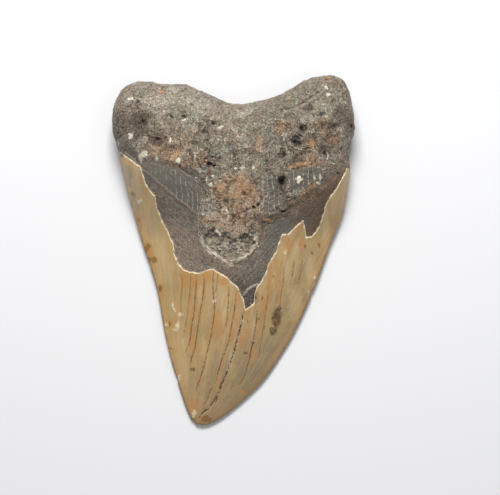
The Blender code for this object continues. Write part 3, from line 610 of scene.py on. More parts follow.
def tooth_outline():
    """The tooth's outline, anticlockwise from its tip, with worn serrations and a rough root."""
    right = smooth_line(RIGHT_EDGE, EDGE_SPACING)
    root = smooth_line((RIGHT_EDGE[-1],) + ROOT_EDGE + (LEFT_EDGE[-1],), EDGE_SPACING)
    left = smooth_line(LEFT_EDGE, EDGE_SPACING)[::-1]
    line = np.vstack((right[:-1], root[:-1], left[:-1]))
    steps = np.hypot(*np.diff(line, axis=0).T)
    along = np.concatenate(([0], np.cumsum(steps)))
    in_root = smooth_step(SHOULDER_Y - 2, SHOULDER_Y + 6, line[:, 1])
    wear = np.array([noise.noise(Vector((s / 9, 4.2, 0))) for s in along])
    wear = smooth_step(-0.35, 0.25, wear)
    ripple = 0.5 + 0.5 * np.cos(math.tau * along / SERRATION_PITCH)
    inward = SERRATION_DEPTH * ripple * wear * (1 - in_root)
    for x, y, radius, depth in EDGE_NICKS:
        share = np.clip(np.hypot(line[:, 0] - x, line[:, 1] - y) / radius, 0, 1)
        inward += depth * (1 - share**2)
    rough = np.array([noise.noise(Vector((x, y, 8)) / 2.6) + 0.5 * noise.noise(Vector((x, y, 9)))
                      for x, y in line])
    inward += ROOT_EDGE_SHAKE * in_root * (rough + 0.6)
    return line + inward[:, None] * left_of(line, closed=True)


def rim_height(y):
    """How high the outline is above the table."""
    edge = (SHOULDER_RIM - TIP_RIM) * smooth_step(TIP_Y + 10, SHOULDER_Y, y)
    root = (ROOT_RIM - SHOULDER_RIM) * smooth_step(SHOULDER_Y - 2, ROOT_RIM_Y, y)
    return TIP_RIM + edge + root


CROWN_BASE = 75  # the crown's width at its base
STREAK_LEAN = 0.0027  # how far the growth lines lean right toward the root, in widths per millimetre


def across_crown(points):
    """Where each point is between the cutting edges, in millimetres at the crown's base.

    The lines along which it stays the same run together to the tip, as the enamel grew.
    """
    left = smooth_line(LEFT_EDGE, 1.0)
    right = smooth_line(RIGHT_EDGE, 1.0)
    x, y = points.T
    low = np.interp(y, left[:, 1], left[:, 0])
    high = np.interp(y, right[:, 1], right[:, 0])
    return CROWN_BASE * ((x - low) / np.maximum(high - low, 1) - STREAK_LEAN * y)


# ------------------------------------------------------------------------ the two surfaces

PIT_REACH = 1.1  # a pit's rounded rim ends at this many of its radii
FULL_SHADE_DEPTH = 1.6  # pits that are as deep as this get the full painted shade
GROOVE_REACH = 1.6  # a crack's groove ends at this many of its half widths
HOLE_DEPTH = 0.9
RIDGE, FOLD, PALE_RIDGE = (0.3, 0.4), (0.4, 0.35), (0.35, 0.45)  # each height and half width
CRUST_HEIGHT = 0.2

def lumps(points, side):
    """A soft lumpy noise over the plan, from about -1 to 1, with its own pattern on each side."""
    def at(x, y):
        here = Vector((x, y, 31 * side)) / LUMP_LENGTH
        return noise.noise(here) + 0.45 * noise.noise(here * 2.3) + 0.2 * noise.noise(here * 4.7)
    return np.array([at(x, y) for x, y in points])


def root_height(x, y):
    """The root's lingual face without its rounded rim: a low torus that falls away to the lobes."""
    toward_crown = np.clip((TORUS_Y - y) / 40, 0, 1)
    toward_lobes = np.clip((y - TORUS_Y) / (60 - TORUS_Y), 0, 1)
    height = TORUS_HEIGHT - 8 * toward_crown**2
    height -= (TORUS_HEIGHT - LOBE_END_HEIGHT) * toward_lobes**2
    return height - SHOULDER_FALL * (x / 40)**2 * (1 - 0.7 * toward_lobes)


def pit_shade_and_depth(points):
    """How much painted shade the pits get at each point, from 0 to 1, and how deep they are there."""
    share, depth = np.zeros(len(points)), np.zeros(len(points))
    for x, y, radius, pit_depth in PITS:
        away = np.hypot(points[:, 0] - x, points[:, 1] - y) / (PIT_REACH * radius)
        inside = np.clip(1 - away**2, 0, 1)
        share = np.maximum(share, inside * min(pit_depth / FULL_SHADE_DEPTH, 1))
        depth += pit_depth * PIT_STRETCH * inside**1.3
    return share, depth


def groove_depth(cracks):
    """How deep the cracks cut at each point, from the ratio and depth that crack_facts gives."""
    return cracks["deep"] * np.clip(1 - cracks["crack"] / GROOVE_REACH, 0, 1)


def bead(distance, height, half_width):
    """How high a rounded ridge is at this distance from its line."""
    return height * np.exp(-(distance / half_width)**2)


def lingual_height(points, facts, sizes):
    """The lingual face: the crown's dome, the root, and what has broken and worn away."""
    x, y = points.T
    depth = facts["depth"]
    rim = rim_height(y)
    in_root = smooth_step(CROWN_END_Y, ROOT_START_Y, y)
    crown = rim + CROWN_SLOPE * depth + CROWN_CURVE * depth**2
    root = rim + (root_height(x, y) - rim) * quarter_round(depth, ROOT_ROUNDING)
    height = (1 - in_root) * crown + in_root * root

    bone = smooth_step(-0.3, BONE_SLOPE, facts["over_margin"])
    bare = np.clip(facts["over_break"] * MM / sizes.break_slope, 0, 1)
    inner = smooth_step(0, 2, depth)
    step = SHOULDER_STEP + (BONE_STEP - SHOULDER_STEP) * smooth_step(-38, -31.5, x)
    height += inner * (step * bone - sizes.enamel_thickness / MM * bare * (1 - bone))
    height -= HOLLOW_DEPTH * smooth_step(0, HOLLOW_SLOPE, facts["hollow"]) + facts["pit_depth"]
    lumpy = smooth_step(-4, 8, facts["over_margin"])
    swell = (CROWN_LUMP + (ROOT_LUMP - CROWN_LUMP) * lumpy) * smooth_step(0, 3, depth)
    height += swell * lumps(points, 1)
    height -= groove_depth(facts) + HOLE_DEPTH * smooth_step(0.1, 0.7, facts["hole"])
    height += bead(facts["ridge"], *RIDGE) - bead(facts["fold"], *FOLD)
    height += bead(facts["pale_ridge"], *PALE_RIDGE)
    return height + CRUST_HEIGHT * smooth_step(0.25, 0.45, facts["crust"])


def labial_height(points, facts):
    """The labial face: nearly flat, with the root's rounding, on the table where it is lowest."""
    x, y = points.T
    depth, over_margin = facts["depth"], facts["over_margin"]
    rim = rim_height(y)
    in_root = smooth_step(-2, 6, over_margin)
    crown = rim - LABIAL_SWELL * depth
    root = rim * (1 - quarter_round(depth, LABIAL_ROUNDING))
    height = (1 - in_root) * crown + in_root * root
    height += LABIAL_LEDGE * smooth_step(0, 0.5, over_margin) * (1 - smooth_step(1, 7, over_margin))
    height += LABIAL_HOLLOW * np.exp(-((x / 13)**2 + ((y - 40) / 12)**2))
    swell = (CROWN_LUMP + (ROOT_LUMP - CROWN_LUMP) * in_root) * smooth_step(0, 3, depth)
    return np.maximum(height + swell * lumps(points, 2) - 0.15, 0) + groove_depth(facts)


# ------------------------------------------------------------------------ what each point knows

FAR = 99.0  # where the search for the nearest crack starts
SPOT_REACH = 1.5  # a stain's spot ends at this many of its half widths
# How lines and points are shaken: the reach, the length and the seed of the noise
POINT_SHAKE, STAIN_SHAKE = (0.4, 2.3, 11), (0.35, 0.9, 12)
PIT_SHAKE, HOLLOW_SHAKE = (0.45, 1.4, 13), (0.45, 1.0, 14)
RIDGE_SHAKE, PALE_RIDGE_SHAKE = (0.2, 1.5, 15), (0.35, 1.0, 16)
BREAK_SHAKE, LABIAL_SHAKE = (0.3, 2.4, 3), (0.3, 2.4, 5)
LINGUAL_CRACK_SEED, LABIAL_CRACK_SEED = 20, 50

def crack_facts(points, cracks):
    """The nearest crack: its distance, that distance in half widths, and how deep it cuts."""
    gap = np.full(len(points), FAR)
    ratio = np.full(len(points), FAR)
    deep = np.zeros(len(points))
    for (half_width, depth), line in cracks:
        near = np.flatnonzero((points > line.min(0) - 4).all(1) & (points < line.max(0) + 4).all(1))
        distance = line_distance(points[near], line)
        ends = np.minimum(np.hypot(*(points[near] - line[0]).T), np.hypot(*(points[near] - line[-1]).T))
        width = half_width * (0.35 + 0.65 * smooth_step(0, 3, ends))
        closer = distance / width < ratio[near]
        ratio[near] = np.where(closer, distance / width, ratio[near])
        deep[near] = np.where(closer, depth, deep[near])
        gap[near] = np.minimum(gap[near], distance)
    return {"crack": np.minimum(ratio, 9), "crack_gap": np.minimum(gap, 9), "deep": deep}


def stain_facts(points, stains):
    """How far inside the nearest spot of each stain or patch of painted shade a point is, from 0 at its rim
    to 1.
    """
    facts = {}
    for name, spots in stains.items():
        value = np.zeros(len(points))
        for x, y, half_width, half_length in spots:
            away = np.hypot((points[:, 0] - x) / half_width, (points[:, 1] - y) / half_length)
            value = np.maximum(value, 1 - away / SPOT_REACH)
        facts[name] = value
    return facts


def point_facts(points, outline, margin, fracture, cracks, stains):
    """What each point inside the outline knows of the lines, cracks, stains and painted shade near it."""
    ragged = shaken(points, *POINT_SHAKE)
    facts = {
        "depth": inset(points, outline),
        "over_margin": height_over(ragged, margin),
        "over_break": height_over(points, fracture),
        "across": across_crown(points),
    }
    facts.update(crack_facts(points, cracks))
    facts.update(stain_facts(shaken(ragged, *STAIN_SHAKE), stains))
    return facts, ragged


# ------------------------------------------------------------------------ the mesh


def rim_rings(outline, spacing):
    """Rings of points inside the outline: close together where the root's side is steep."""
    inward = left_of(outline, closed=True)
    in_root = outline[:, 1] > SHOULDER_Y
    rings = []
    steps = int(0.75 * ROOT_ROUNDING / spacing)
    for number in range(1, steps):
        angle = number * 0.95 * spacing / ROOT_ROUNDING
        width = ROOT_ROUNDING * (1 - math.cos(angle))
        if width < 0.02 or width > 3.2:
            continue
        ring = (outline + width * inward)[in_root]
        rings.append(ring[number % 2::2])
    for width in (0.32, 0.75, 1.2, 1.7):
        ring = (outline + width * inward)[~in_root]
        rings.append(ring[::2] if width > 0.5 else ring)
    return np.vstack(rings)


def spaced(points, kept, spacing):
    """The points that stay clear of those already kept."""
    tree = KDTree(len(kept))
    for number, (x, y) in enumerate(kept):
        tree.insert((x, y, 0), number)
    tree.balance()
    return np.array([point for point in points if tree.find((*point, 0))[2] > spacing])


def thinned(points, spacing):
    """The points without those that crowd an earlier one."""
    cells = {}
    kept = []
    for x, y in points:
        cell = (math.floor(x / spacing), math.floor(y / spacing))
        near = [cells.get((cell[0] + i, cell[1] + j), ()) for i in (-1, 0, 1) for j in (-1, 0, 1)]
        if all(math.hypot(x - a, y - b) > spacing for group in near for a, b in group):
            cells.setdefault(cell, []).append((x, y))
            kept.append((x, y))
    return np.array(kept)


def hexagon_grid(outline, spacing):
    """Points inside the outline on a grid of even triangles."""
    low, high = outline.min(0), outline.max(0)
    rows = np.arange(low[1], high[1], spacing * math.sqrt(3) / 2)
    columns = np.arange(low[0], high[0], spacing)
    points = [(x + spacing / 2 * (number % 2), y) for number, y in enumerate(rows) for x in columns]
    points = np.array(points)
    return points[is_inside(points, outline)]


def plan(outline, lines, beside, root_spacing, crown_spacing):
    """Triangles inside the outline, with edges along the lines and rows of points beside them.

    The first line parts the root, which has the closer points, from the crown.
    """
    loose = []
    for line, widths in zip(lines, beside):
        for width in widths:
            row = line + width * left_of(line)
            loose.append(row[line_distance(row, line) > 0.8 * abs(width)])
    loose.append(rim_rings(outline, root_spacing))
    loose = np.vstack(loose)
    loose = loose[is_inside(loose, outline)]
    fixed = np.vstack([outline] + list(lines))
    loose = thinned(spaced(loose, fixed, 0.17), 0.19)
    taken = np.vstack((fixed, loose))
    for spacing, side in ((root_spacing, 1), (crown_spacing, -1)):
        grid = hexagon_grid(outline, spacing)
        grid = grid[side * (height_over(grid, lines[0]) + 0.6) > 0]
        loose = np.vstack((loose, spaced(grid, taken, 0.62 * spacing)))
    points, edges = list(outline), [(i, (i + 1) % len(outline)) for i in range(len(outline))]
    for line in lines:
        start = len(points)
        points += list(line)
        edges += [(i, i + 1) for i in range(start, len(points) - 1)]
    points += list(loose)
    corners = [Vector(point) for point in points]
    vertices, _, faces, _, _, _ = delaunay_2d_cdt(corners, edges, [], 1, 1e-4)
    return np.array([tuple(vertex) for vertex in vertices]), faces


def crack_lines(cracks, seed):
    """Each crack's size, and its line with a little waver."""
    lines = []
    for number, (size, *points) in enumerate(cracks):
        line = smooth_line(points, 0.45)
        lines.append((size, shaken_line(line, 0.06, 2.2, seed + number)))
    return lines


def lingual_face(outline, sizes):
    """The plan, heights and facts of the face that lies up."""
    fracture = shaken_line(split_line(BROKEN_EDGE, 0.4), *BREAK_SHAKE)
    margin = smooth_line(ROOT_MARGIN, 0.8)
    cracks = crack_lines(LINGUAL_CRACKS, LINGUAL_CRACK_SEED)
    lines = [fracture] + [line for _, line in cracks]
    beside = [(-0.35, sizes.break_slope / MM)] + [(-0.24, 0.24)] * len(cracks)
    points, faces = plan(outline, lines, beside, sizes.root_spacing / MM, sizes.crown_spacing / MM)
    inner = points[len(outline):]
    facts, ragged = point_facts(inner, outline, margin, fracture, cracks, LINGUAL_MARKS)
    rim = smooth_line(HOLLOW_RIM + HOLLOW_RIM[:1], 0.6)[:-1]
    facts["hollow"] = depth_in(shaken(ragged, *HOLLOW_SHAKE), rim)
    bands = [(share, depth_in(inner, loop)) for share, *loop in STRIATED_LOOPS]
    facts["striated"] = np.max([np.minimum(deep, 3 * share - 1.2) for share, deep in bands], axis=0)
    ridges = [shaken_line(smooth_line(points, 0.5), *RIDGE_SHAKE) for points in RIDGES]
    facts["ridge"] = np.min([line_distance(inner, line) for line in ridges], axis=0)
    ridges = [shaken_line(smooth_line(points, 0.4), *PALE_RIDGE_SHAKE) for points in PALE_RIDGES]
    facts["pale_ridge"] = np.min([line_distance(inner, line) for line in ridges], axis=0)
    folds = [smooth_line(points, 0.5) for points in FOLDS]
    facts["fold"] = np.min([line_distance(ragged, line) for line in folds], axis=0)
    facts["pit"], facts["pit_depth"] = pit_shade_and_depth(shaken(inner, *PIT_SHAKE))
    facts["crumbly"] = stain_facts(ragged, {"crumbly": CRUMBLY})["crumbly"] * 2
    facts["middle"] = stain_facts(ragged, {"middle": MIDDLE})["middle"]
    return points, faces, lingual_height(inner, facts, sizes), facts


LABIAL_FACTS = (  # the facts that are the same all over the labial face
    ("hollow", -9.0), ("striated", -9.0), ("ridge", 9.0), ("pale_ridge", 9.0), ("fold", 9.0),
    ("pit", 0.0), ("pit_depth", 0.0), ("crumbly", 0.5), ("middle", 0.0),
)


def labial_face(outline, sizes):
    """The plan, heights and facts of the face that the tooth lies on, with fewer points."""
    margin = shaken_line(smooth_line(LABIAL_MARGIN, 0.5), *LABIAL_SHAKE)
    cracks = crack_lines(LABIAL_CRACKS, LABIAL_CRACK_SEED)
    lines = [margin] + [line for _, line in cracks]
    beside = [(-0.35, 0.35)] + [(-0.28, 0.28)] * len(cracks)
    points, faces = plan(outline, lines, beside, sizes.lower_spacing * (sizes.root_spacing / MM),
                         sizes.lower_spacing * (sizes.crown_spacing / MM))
    inner = points[len(outline):]
    facts, _ = point_facts(inner, outline, margin, margin, cracks, LABIAL_MARKS)
    for name, value in LABIAL_FACTS:
        facts[name] = np.full(len(inner), value)
    return points, faces, labial_height(inner, facts), facts


def outline_facts(outline, lingual):
    """The facts of the outline's own points, which both faces share."""
    margin = smooth_line(ROOT_MARGIN, 0.8)
    facts = {name: np.zeros(len(outline)) for name in lingual}
    facts["over_margin"] = height_over(outline, margin)
    facts["over_break"] = height_over(outline, smooth_line(BROKEN_EDGE, 0.8))
    facts["across"] = across_crown(outline)
    for name in ("crack", "crack_gap", "ridge", "pale_ridge", "fold"):
        facts[name][:] = 9
    for name in ("hollow", "striated"):
        facts[name][:] = -9
    facts.update(stain_facts(outline, LINGUAL_MARKS))
    return facts


def tooth_mesh(sizes):
    """Both faces, lifted from their plans and joined along the outline, with facts as attributes."""
    noise.seed_set(SHAKE_SEED)
    outline = tooth_outline()
    lingual, labial = lingual_face(outline, sizes), labial_face(outline, sizes)
    tooth = bmesh.new()
    rim = rim_height(outline[:, 1])
    ring = [tooth.verts.new((x, y, z)) for (x, y), z in zip(outline, rim)]
    for (points, faces, heights, _), facing in ((lingual, 1), (labial, -1)):
        inner = points[len(outline):]
        verts = ring + [tooth.verts.new((x, y, z)) for (x, y), z in zip(inner, heights)]
        for face in faces:
            tooth.faces.new([verts[i] for i in face[::facing]])
    if any(len(edge.link_faces) != 2 for edge in tooth.edges):
        raise RuntimeError("the tooth's two faces don't close along the outline")
    bmesh.ops.scale(tooth, vec=Vector((MM, MM, MM)), verts=tooth.verts)
    mesh = bpy.data.meshes.new(NODE)
    tooth.to_mesh(mesh)
    tooth.free()
    shared = outline_facts(outline, lingual[3])
    for name in lingual[3]:
        values = np.concatenate((shared[name], lingual[3][name], labial[3][name]))
        mesh.attributes.new(name, "FLOAT", "POINT").data.foreach_set("value", values)
    mesh.shade_smooth()
    return mesh


# ------------------------------------------------------------------------ node trees


class Tree:
    """Writes a node tree: each call adds one node and gives back its output."""

    def __init__(self, tree):
        self.tree = tree

    def node(self, kind, inputs=(), **settings):
        node = self.tree.nodes.new(kind)
        for name, value in settings.items():
            setattr(node, name, value)
        for key, value in dict(inputs).items():
            self.feed(node.inputs[key], value)
        return node

    def feed(self, socket, value):
        if isinstance(value, bpy.types.NodeSocket):
            self.tree.links.new(value, socket)
        else:
            socket.default_value = value

    def maths(self, operation, *values, clamp=False):
        node = self.node("ShaderNodeMath", enumerate(values), operation=operation, use_clamp=clamp)
        return node.outputs[0]

    def add(self, *values):
        return self.chain("ADD", values)

    def times(self, *values):
        return self.chain("MULTIPLY", values)

    def most(self, *values):
        return self.chain("MAXIMUM", values)

    def chain(self, operation, values):
        total = values[0]
        for value in values[1:]:
            total = self.maths(operation, total, value)
        return total

    def less(self, a, b):
        return self.maths("SUBTRACT", a, b)

    def over(self, a, b):
        return self.maths("DIVIDE", a, b)

    def ramp(self, value, low, high, bottom=0.0, top=1.0, smooth=True):
        """The value, carried from low..high to bottom..top and held there."""
        ends = {"Value": value, "From Min": low, "From Max": high, "To Min": bottom, "To Max": top}
        kind = "SMOOTHSTEP" if smooth else "LINEAR"
        return self.node("ShaderNodeMapRange", ends, interpolation_type=kind, clamp=True).outputs[0]

    def inverse(self, value):
        return self.maths("SUBTRACT", 1.0, value)

    def vector(self, x, y, z):
        return self.node("ShaderNodeCombineXYZ", {"X": x, "Y": y, "Z": z}).outputs[0]

    def part(self, vector, axis):
        return self.node("ShaderNodeSeparateXYZ", {0: vector}).outputs[axis]

    def scaled(self, vector, factor):
        node = self.node("ShaderNodeVectorMath", {0: vector, "Scale": factor}, operation="SCALE")
        return node.outputs[0]

    def noise(self, vector, size, seed, detail=2.0, roughness=0.5):
        """A soft noise from 0 to 1, whose lumps are about as wide as the size."""
        inputs = {"Vector": vector, "W": seed, "Scale": self.inverse_size(size), "Detail": detail,
                  "Roughness": roughness}
        node = self.node("ShaderNodeTexNoise", inputs, noise_dimensions="4D", normalize=True)
        return node.outputs[0]

    def stirred(self, vector, size, seed, scale, reach, detail, roughness=0.5):
        """The vector, moved about by a noise, so that what reads it is irregular."""
        inputs = {"Vector": vector, "W": seed, "Scale": self.over(scale, size), "Detail": detail,
                  "Roughness": roughness}
        stir = self.node("ShaderNodeTexNoise", inputs, noise_dimensions="4D").outputs["Color"]
        moved = {0: stir, 1: self.times(size, reach), 2: vector}
        return self.node("ShaderNodeVectorMath", moved, operation="MULTIPLY_ADD").outputs[0]

    def cells(self, vector, size):
        """Random cells: the distance from a cell's middle in cell widths, and its own number."""
        inputs = {"Vector": vector, "Scale": self.inverse_size(size)}
        node = self.node("ShaderNodeTexVoronoi", inputs, voronoi_dimensions="3D", feature="F1")
        return node.outputs["Distance"], self.part(node.outputs["Color"], "X")

    def edge(self, vector, size):
        """Random cells again: the distance from the nearest edge between two cells."""
        inputs = {"Vector": vector, "Scale": self.inverse_size(size)}
        node = self.node("ShaderNodeTexVoronoi", inputs, voronoi_dimensions="3D",
                         feature="DISTANCE_TO_EDGE")
        return node.outputs["Distance"]

    def inverse_size(self, size):
        if isinstance(size, bpy.types.NodeSocket):
            return self.over(1.0, size)
        return 1.0 / size

    def field(self, name):
        """A number that each point of the mesh carries."""
        if self.tree.bl_idname == "GeometryNodeTree":
            node = self.node("GeometryNodeInputNamedAttribute", {"Name": name}, data_type="FLOAT")
            return node.outputs[0]
        return self.node("ShaderNodeAttribute", attribute_name=name).outputs["Fac"]

    def mix(self, share, a, b, blend="MIX"):
        inputs = {0: share, 6: a, 7: b}
        return self.node("ShaderNodeMix", inputs, data_type="RGBA", blend_type=blend).outputs[2]

    def tint(self, share, a, b):
        return self.mix(share, a, b, "MULTIPLY")

    def group(self, name, **inputs):
        node = self.node("ShaderNodeGroup", node_tree=bpy.data.node_groups[name])
        for key, value in inputs.items():
            self.feed(node.inputs[key], value)
        return node.outputs[0]


def new_group(name, kind, inputs, outputs):
    """An empty node group with named sockets, and its tree, inputs and outputs."""
    group = bpy.data.node_groups.new(name, kind)
    for label, socket_type, value in inputs:
        socket = group.interface.new_socket(label, in_out="INPUT", socket_type=socket_type)
        if value is not None:
            socket.default_value = value
    for label, socket_type in outputs:
        group.interface.new_socket(label, in_out="OUTPUT", socket_type=socket_type)
    tree = Tree(group)
    return tree, tree.node("NodeGroupInput").outputs, tree.node("NodeGroupOutput").inputs


NUMBER, WHOLE, ARROW = "NodeSocketFloat", "NodeSocketInt", "NodeSocketVector"


# ------------------------------------------------------------------------ the relief


def relief_tree():
    """The tree that roughens the bone, opens its pores and ridges the crown."""
    inputs = (
        ("Geometry", "NodeSocketGeometry", None), ("Grain Size", NUMBER, 1.0),
        ("Grain Height", NUMBER, 1.0), ("Pore Spacing", NUMBER, 1.0), ("Pore Depth", NUMBER, 1.0),
        ("Fibre Height", NUMBER, 1.0), ("Seed", WHOLE, 0), ("Enamel", "NodeSocketMaterial", None),
        ("Root", "NodeSocketMaterial", None),
    )
    outputs = (("Geometry", "NodeSocketGeometry"),)
    tree, given, result = new_group("tooth_relief", "GeometryNodeTree", inputs, outputs)

    place = tree.node("GeometryNodeInputPosition").outputs[0]
    x, y = tree.part(place, "X"), tree.part(place, "Y")
    bone = tree.ramp(tree.field("over_margin"), -0.2, 2.0)
    bare = tree.ramp(tree.field("over_break"), 0.0, 0.6)
    seed = given["Seed"]

    size = given["Grain Size"]
    swirled = tree.stirred(place, size, seed, 0.6, 2.4, detail=4.0, roughness=0.7)
    small, large = tree.edge(swirled, size), tree.edge(swirled, tree.times(size, 2.1))
    wide = tree.times(size, 3.0)
    lump = tree.less(tree.noise(place, wide, tree.add(seed, 3.0), detail=3.0, roughness=0.6), 0.5)
    distance, number = tree.cells(place, given["Pore Spacing"])
    width = tree.ramp(number, 0.4, 1.0, 0.05, 0.34, smooth=False)
    pore = tree.ramp(distance, width, tree.times(width, 0.35))
    crumbly = tree.ramp(tree.field("crumbly"), 0.0, 1.2, 0.3, 1.0)
    patch = tree.noise(place, tree.times(size, 2.5), tree.add(seed, 5.0), detail=3.0, roughness=0.7)
    patch = tree.ramp(patch, 0.42, 0.62, 0.1, 1.0)
    middle, hollow = tree.ramp(tree.field("middle"), 0.1, 0.4), tree.ramp(tree.field("hollow"), 0.2, 1.2)
    tall = tree.vector(tree.part(swirled, "X"), tree.times(tree.part(swirled, "Y"), 0.45), 0.0)
    finger = tree.edge(tall, tree.times(size, 1.9))
    cobbles = tree.add(tree.times(tree.ramp(small, 0.0, 0.3), 0.6),
                       tree.times(tree.ramp(large, 0.0, 0.3), patch, 1.2))
    cobbles = tree.times(cobbles, tree.add(1.0, tree.times(hollow, 2.6), tree.times(middle, -0.5)))
    fingers = tree.times(tree.ramp(finger, 0.0, 0.3), middle, 1.3)
    rough = tree.add(tree.times(cobbles, crumbly), fingers, tree.times(lump, 3.4), -0.6)
    rough = tree.less(rough, tree.add(tree.times(middle, 0.8), tree.times(hollow, 1.2)))
    rough = tree.times(given["Grain Height"], rough)
    rough = tree.less(rough, tree.times(given["Pore Depth"], pore))
    # the crevices between the lumps, the pores and the gaps between the fingers, which the root's material
    # darkens as painted shade
    crevice = tree.add(tree.times(tree.ramp(small, 0.14, 0.0), 0.4), tree.ramp(large, 0.13, 0.0))
    crevice = tree.most(tree.times(crevice, crumbly, patch), tree.times(pore, 0.8),
                        tree.times(tree.ramp(finger, 0.1, 0.0), middle, 0.6))

    aside = tree.maths("ABSOLUTE", tree.add(x, 2 * MM))
    turned = tree.vector(tree.times(tree.add(aside, y), 0.2), tree.less(y, aside), 0.0)
    fibre = tree.less(tree.noise(turned, 1.1 * MM, tree.add(seed, 7.0)), 0.5)
    grown = tree.vector(tree.times(tree.field("across"), MM), tree.times(y, 0.08), 0.0)
    growth = tree.less(tree.noise(grown, 1.3 * MM, tree.add(seed, 11.0)), 0.5)
    crown = tree.add(tree.times(fibre, bare, 2.0), tree.times(growth, tree.inverse(bare), 0.9))
    crown = tree.times(crown, given["Fibre Height"])

    offset = tree.add(tree.times(rough, bone), tree.times(crown, tree.inverse(bone)))
    normal = tree.node("GeometryNodeInputNormal").outputs[0]
    marked = tree.node("GeometryNodeStoreNamedAttribute", {"Geometry": given["Geometry"],
                       "Name": "crevice", "Value": tree.times(crevice, bone)}, data_type="FLOAT")
    moved = tree.node("GeometryNodeSetPosition",
                      {"Geometry": marked.outputs[0], "Offset": tree.scaled(normal, offset)})
    where = tree.node("GeometryNodeInputPosition").outputs[0]
    above = tree.vector(tree.part(where, "X"), tree.part(where, "Y"),
                        tree.most(tree.part(where, "Z"), 0.01 * MM))
    rested = tree.node("GeometryNodeSetPosition", {"Geometry": moved.outputs[0], "Position": above})
    real = tree.node("GeometryNodeRealizeInstances", {"Geometry": rested.outputs[0]})
    all_root = tree.node("GeometryNodeSetMaterial",
                         {"Geometry": real.outputs[0], "Material": given["Root"]})
    on_crown = tree.node("FunctionNodeCompare", {0: tree.field("over_break"), 1: 0.0},
                         data_type="FLOAT", operation="LESS_THAN").outputs[0]
    finished = tree.node("GeometryNodeSetMaterial", {"Geometry": all_root.outputs[0],
                         "Selection": on_crown, "Material": given["Enamel"]})
    tree.feed(result[0], finished.outputs[0])
    return tree.tree


def evaluated(obj, tree, values):
    """Run a Geometry Nodes tree on an object with these values, and keep the result as its mesh."""
    modifier = obj.modifiers.new(tree.name, "NODES")
    modifier.node_group = tree
    for socket in tree.interface.items_tree:
        if socket.in_out == "INPUT" and socket.name in values:
            modifier[socket.identifier] = values[socket.name]
    graph = bpy.context.evaluated_depsgraph_get()
    mesh = bpy.data.meshes.new_from_object(obj.evaluated_get(graph), depsgraph=graph)
    obj.modifiers.remove(modifier)
    obj.data = mesh


# ------------------------------------------------------------------------ shader groups


def make_shader_groups():
    """The effects that the tooth's materials share."""
    place, seed = ("Vector", ARROW, None), ("Seed", NUMBER, 0.0)
    value = (("Value", NUMBER),)
    shader = "ShaderNodeTree"

    inputs = (("Across", NUMBER, 0.0), ("Along", NUMBER, 0.0), ("Pitch", NUMBER, 1.0),
              ("Length", NUMBER, 20.0), seed)
    tree, given, result = new_group("Streaks", shader, inputs, value)
    stretched = tree.vector(tree.over(given["Across"], given["Pitch"]),
                            tree.over(given["Along"], given["Length"]), 0.0)
    streak = tree.noise(stretched, 1.0, given["Seed"], detail=2.5, roughness=0.6)
    tree.feed(result[0], tree.ramp(streak, 0.3, 0.7))

    inputs = (place, ("Size", NUMBER, 1.0), ("Contrast", NUMBER, 0.2), seed)
    tree, given, result = new_group("Grit", shader, inputs, value)
    coarse = tree.noise(given["Vector"], given["Size"], given["Seed"], detail=3.0, roughness=0.65)
    fine = tree.noise(given["Vector"], tree.times(given["Size"], 0.37), given["Seed"], detail=1.0)
    both = tree.add(tree.times(coarse, 0.6), tree.times(fine, 0.4))
    low, high = tree.less(0.5, given["Contrast"]), tree.add(0.5, given["Contrast"])
    tree.feed(result[0], tree.ramp(both, low, high))

    inputs = (place, ("Size", NUMBER, 1.0), ("Share", NUMBER, 0.1))
    tree, given, result = new_group("Grains", shader, inputs, value)
    moved = tree.stirred(given["Vector"], given["Size"], 3.0, 0.8, 2.2, detail=3.0)
    distance, number = tree.cells(moved, given["Size"])
    chosen = tree.ramp(number, given["Share"], tree.times(given["Share"], 0.7), smooth=False)
    tree.feed(result[0], tree.times(chosen, tree.ramp(distance, 0.55, 0.25)))

    inputs = (("Field", NUMBER, 0.0), place, ("Size", NUMBER, 1.0), ("Raggedness", NUMBER, 0.6),
              ("Softness", NUMBER, 0.1), seed)
    tree, given, result = new_group("Stain", shader, inputs, value)
    ragged = tree.less(tree.noise(given["Vector"], given["Size"], given["Seed"], detail=5.0,
                                  roughness=0.7), 0.5)
    shaken_field = tree.add(given["Field"], tree.times(ragged, given["Raggedness"]))
    low, high = tree.less(0.3, given["Softness"]), tree.add(0.3, given["Softness"])
    inside = tree.ramp(given["Field"], 0.0, 0.12)
    tree.feed(result[0], tree.times(tree.ramp(shaken_field, low, high), inside))

    inputs = (("Across", NUMBER, 0.0), place, ("Pitch", NUMBER, 1.4), ("Width", NUMBER, 0.2), seed)
    tree, given, result = new_group("Scored Lines", shader, inputs, value)
    wander = tree.less(tree.noise(given["Vector"], 6.0, given["Seed"]), 0.5)
    turn = tree.add(tree.over(given["Across"], given["Pitch"]), tree.times(wander, 1.3))
    number = tree.maths("FLOOR", turn)
    aside = tree.maths("ABSOLUTE", tree.less(tree.less(turn, number), 0.5))
    broken = tree.noise(given["Vector"], 1.3, tree.add(number, given["Seed"]), detail=2.0)
    half = tree.over(given["Width"], given["Pitch"])
    line = tree.ramp(aside, half, tree.times(half, 0.25))
    tree.feed(result[0], tree.times(line, tree.ramp(broken, 0.38, 0.58)))


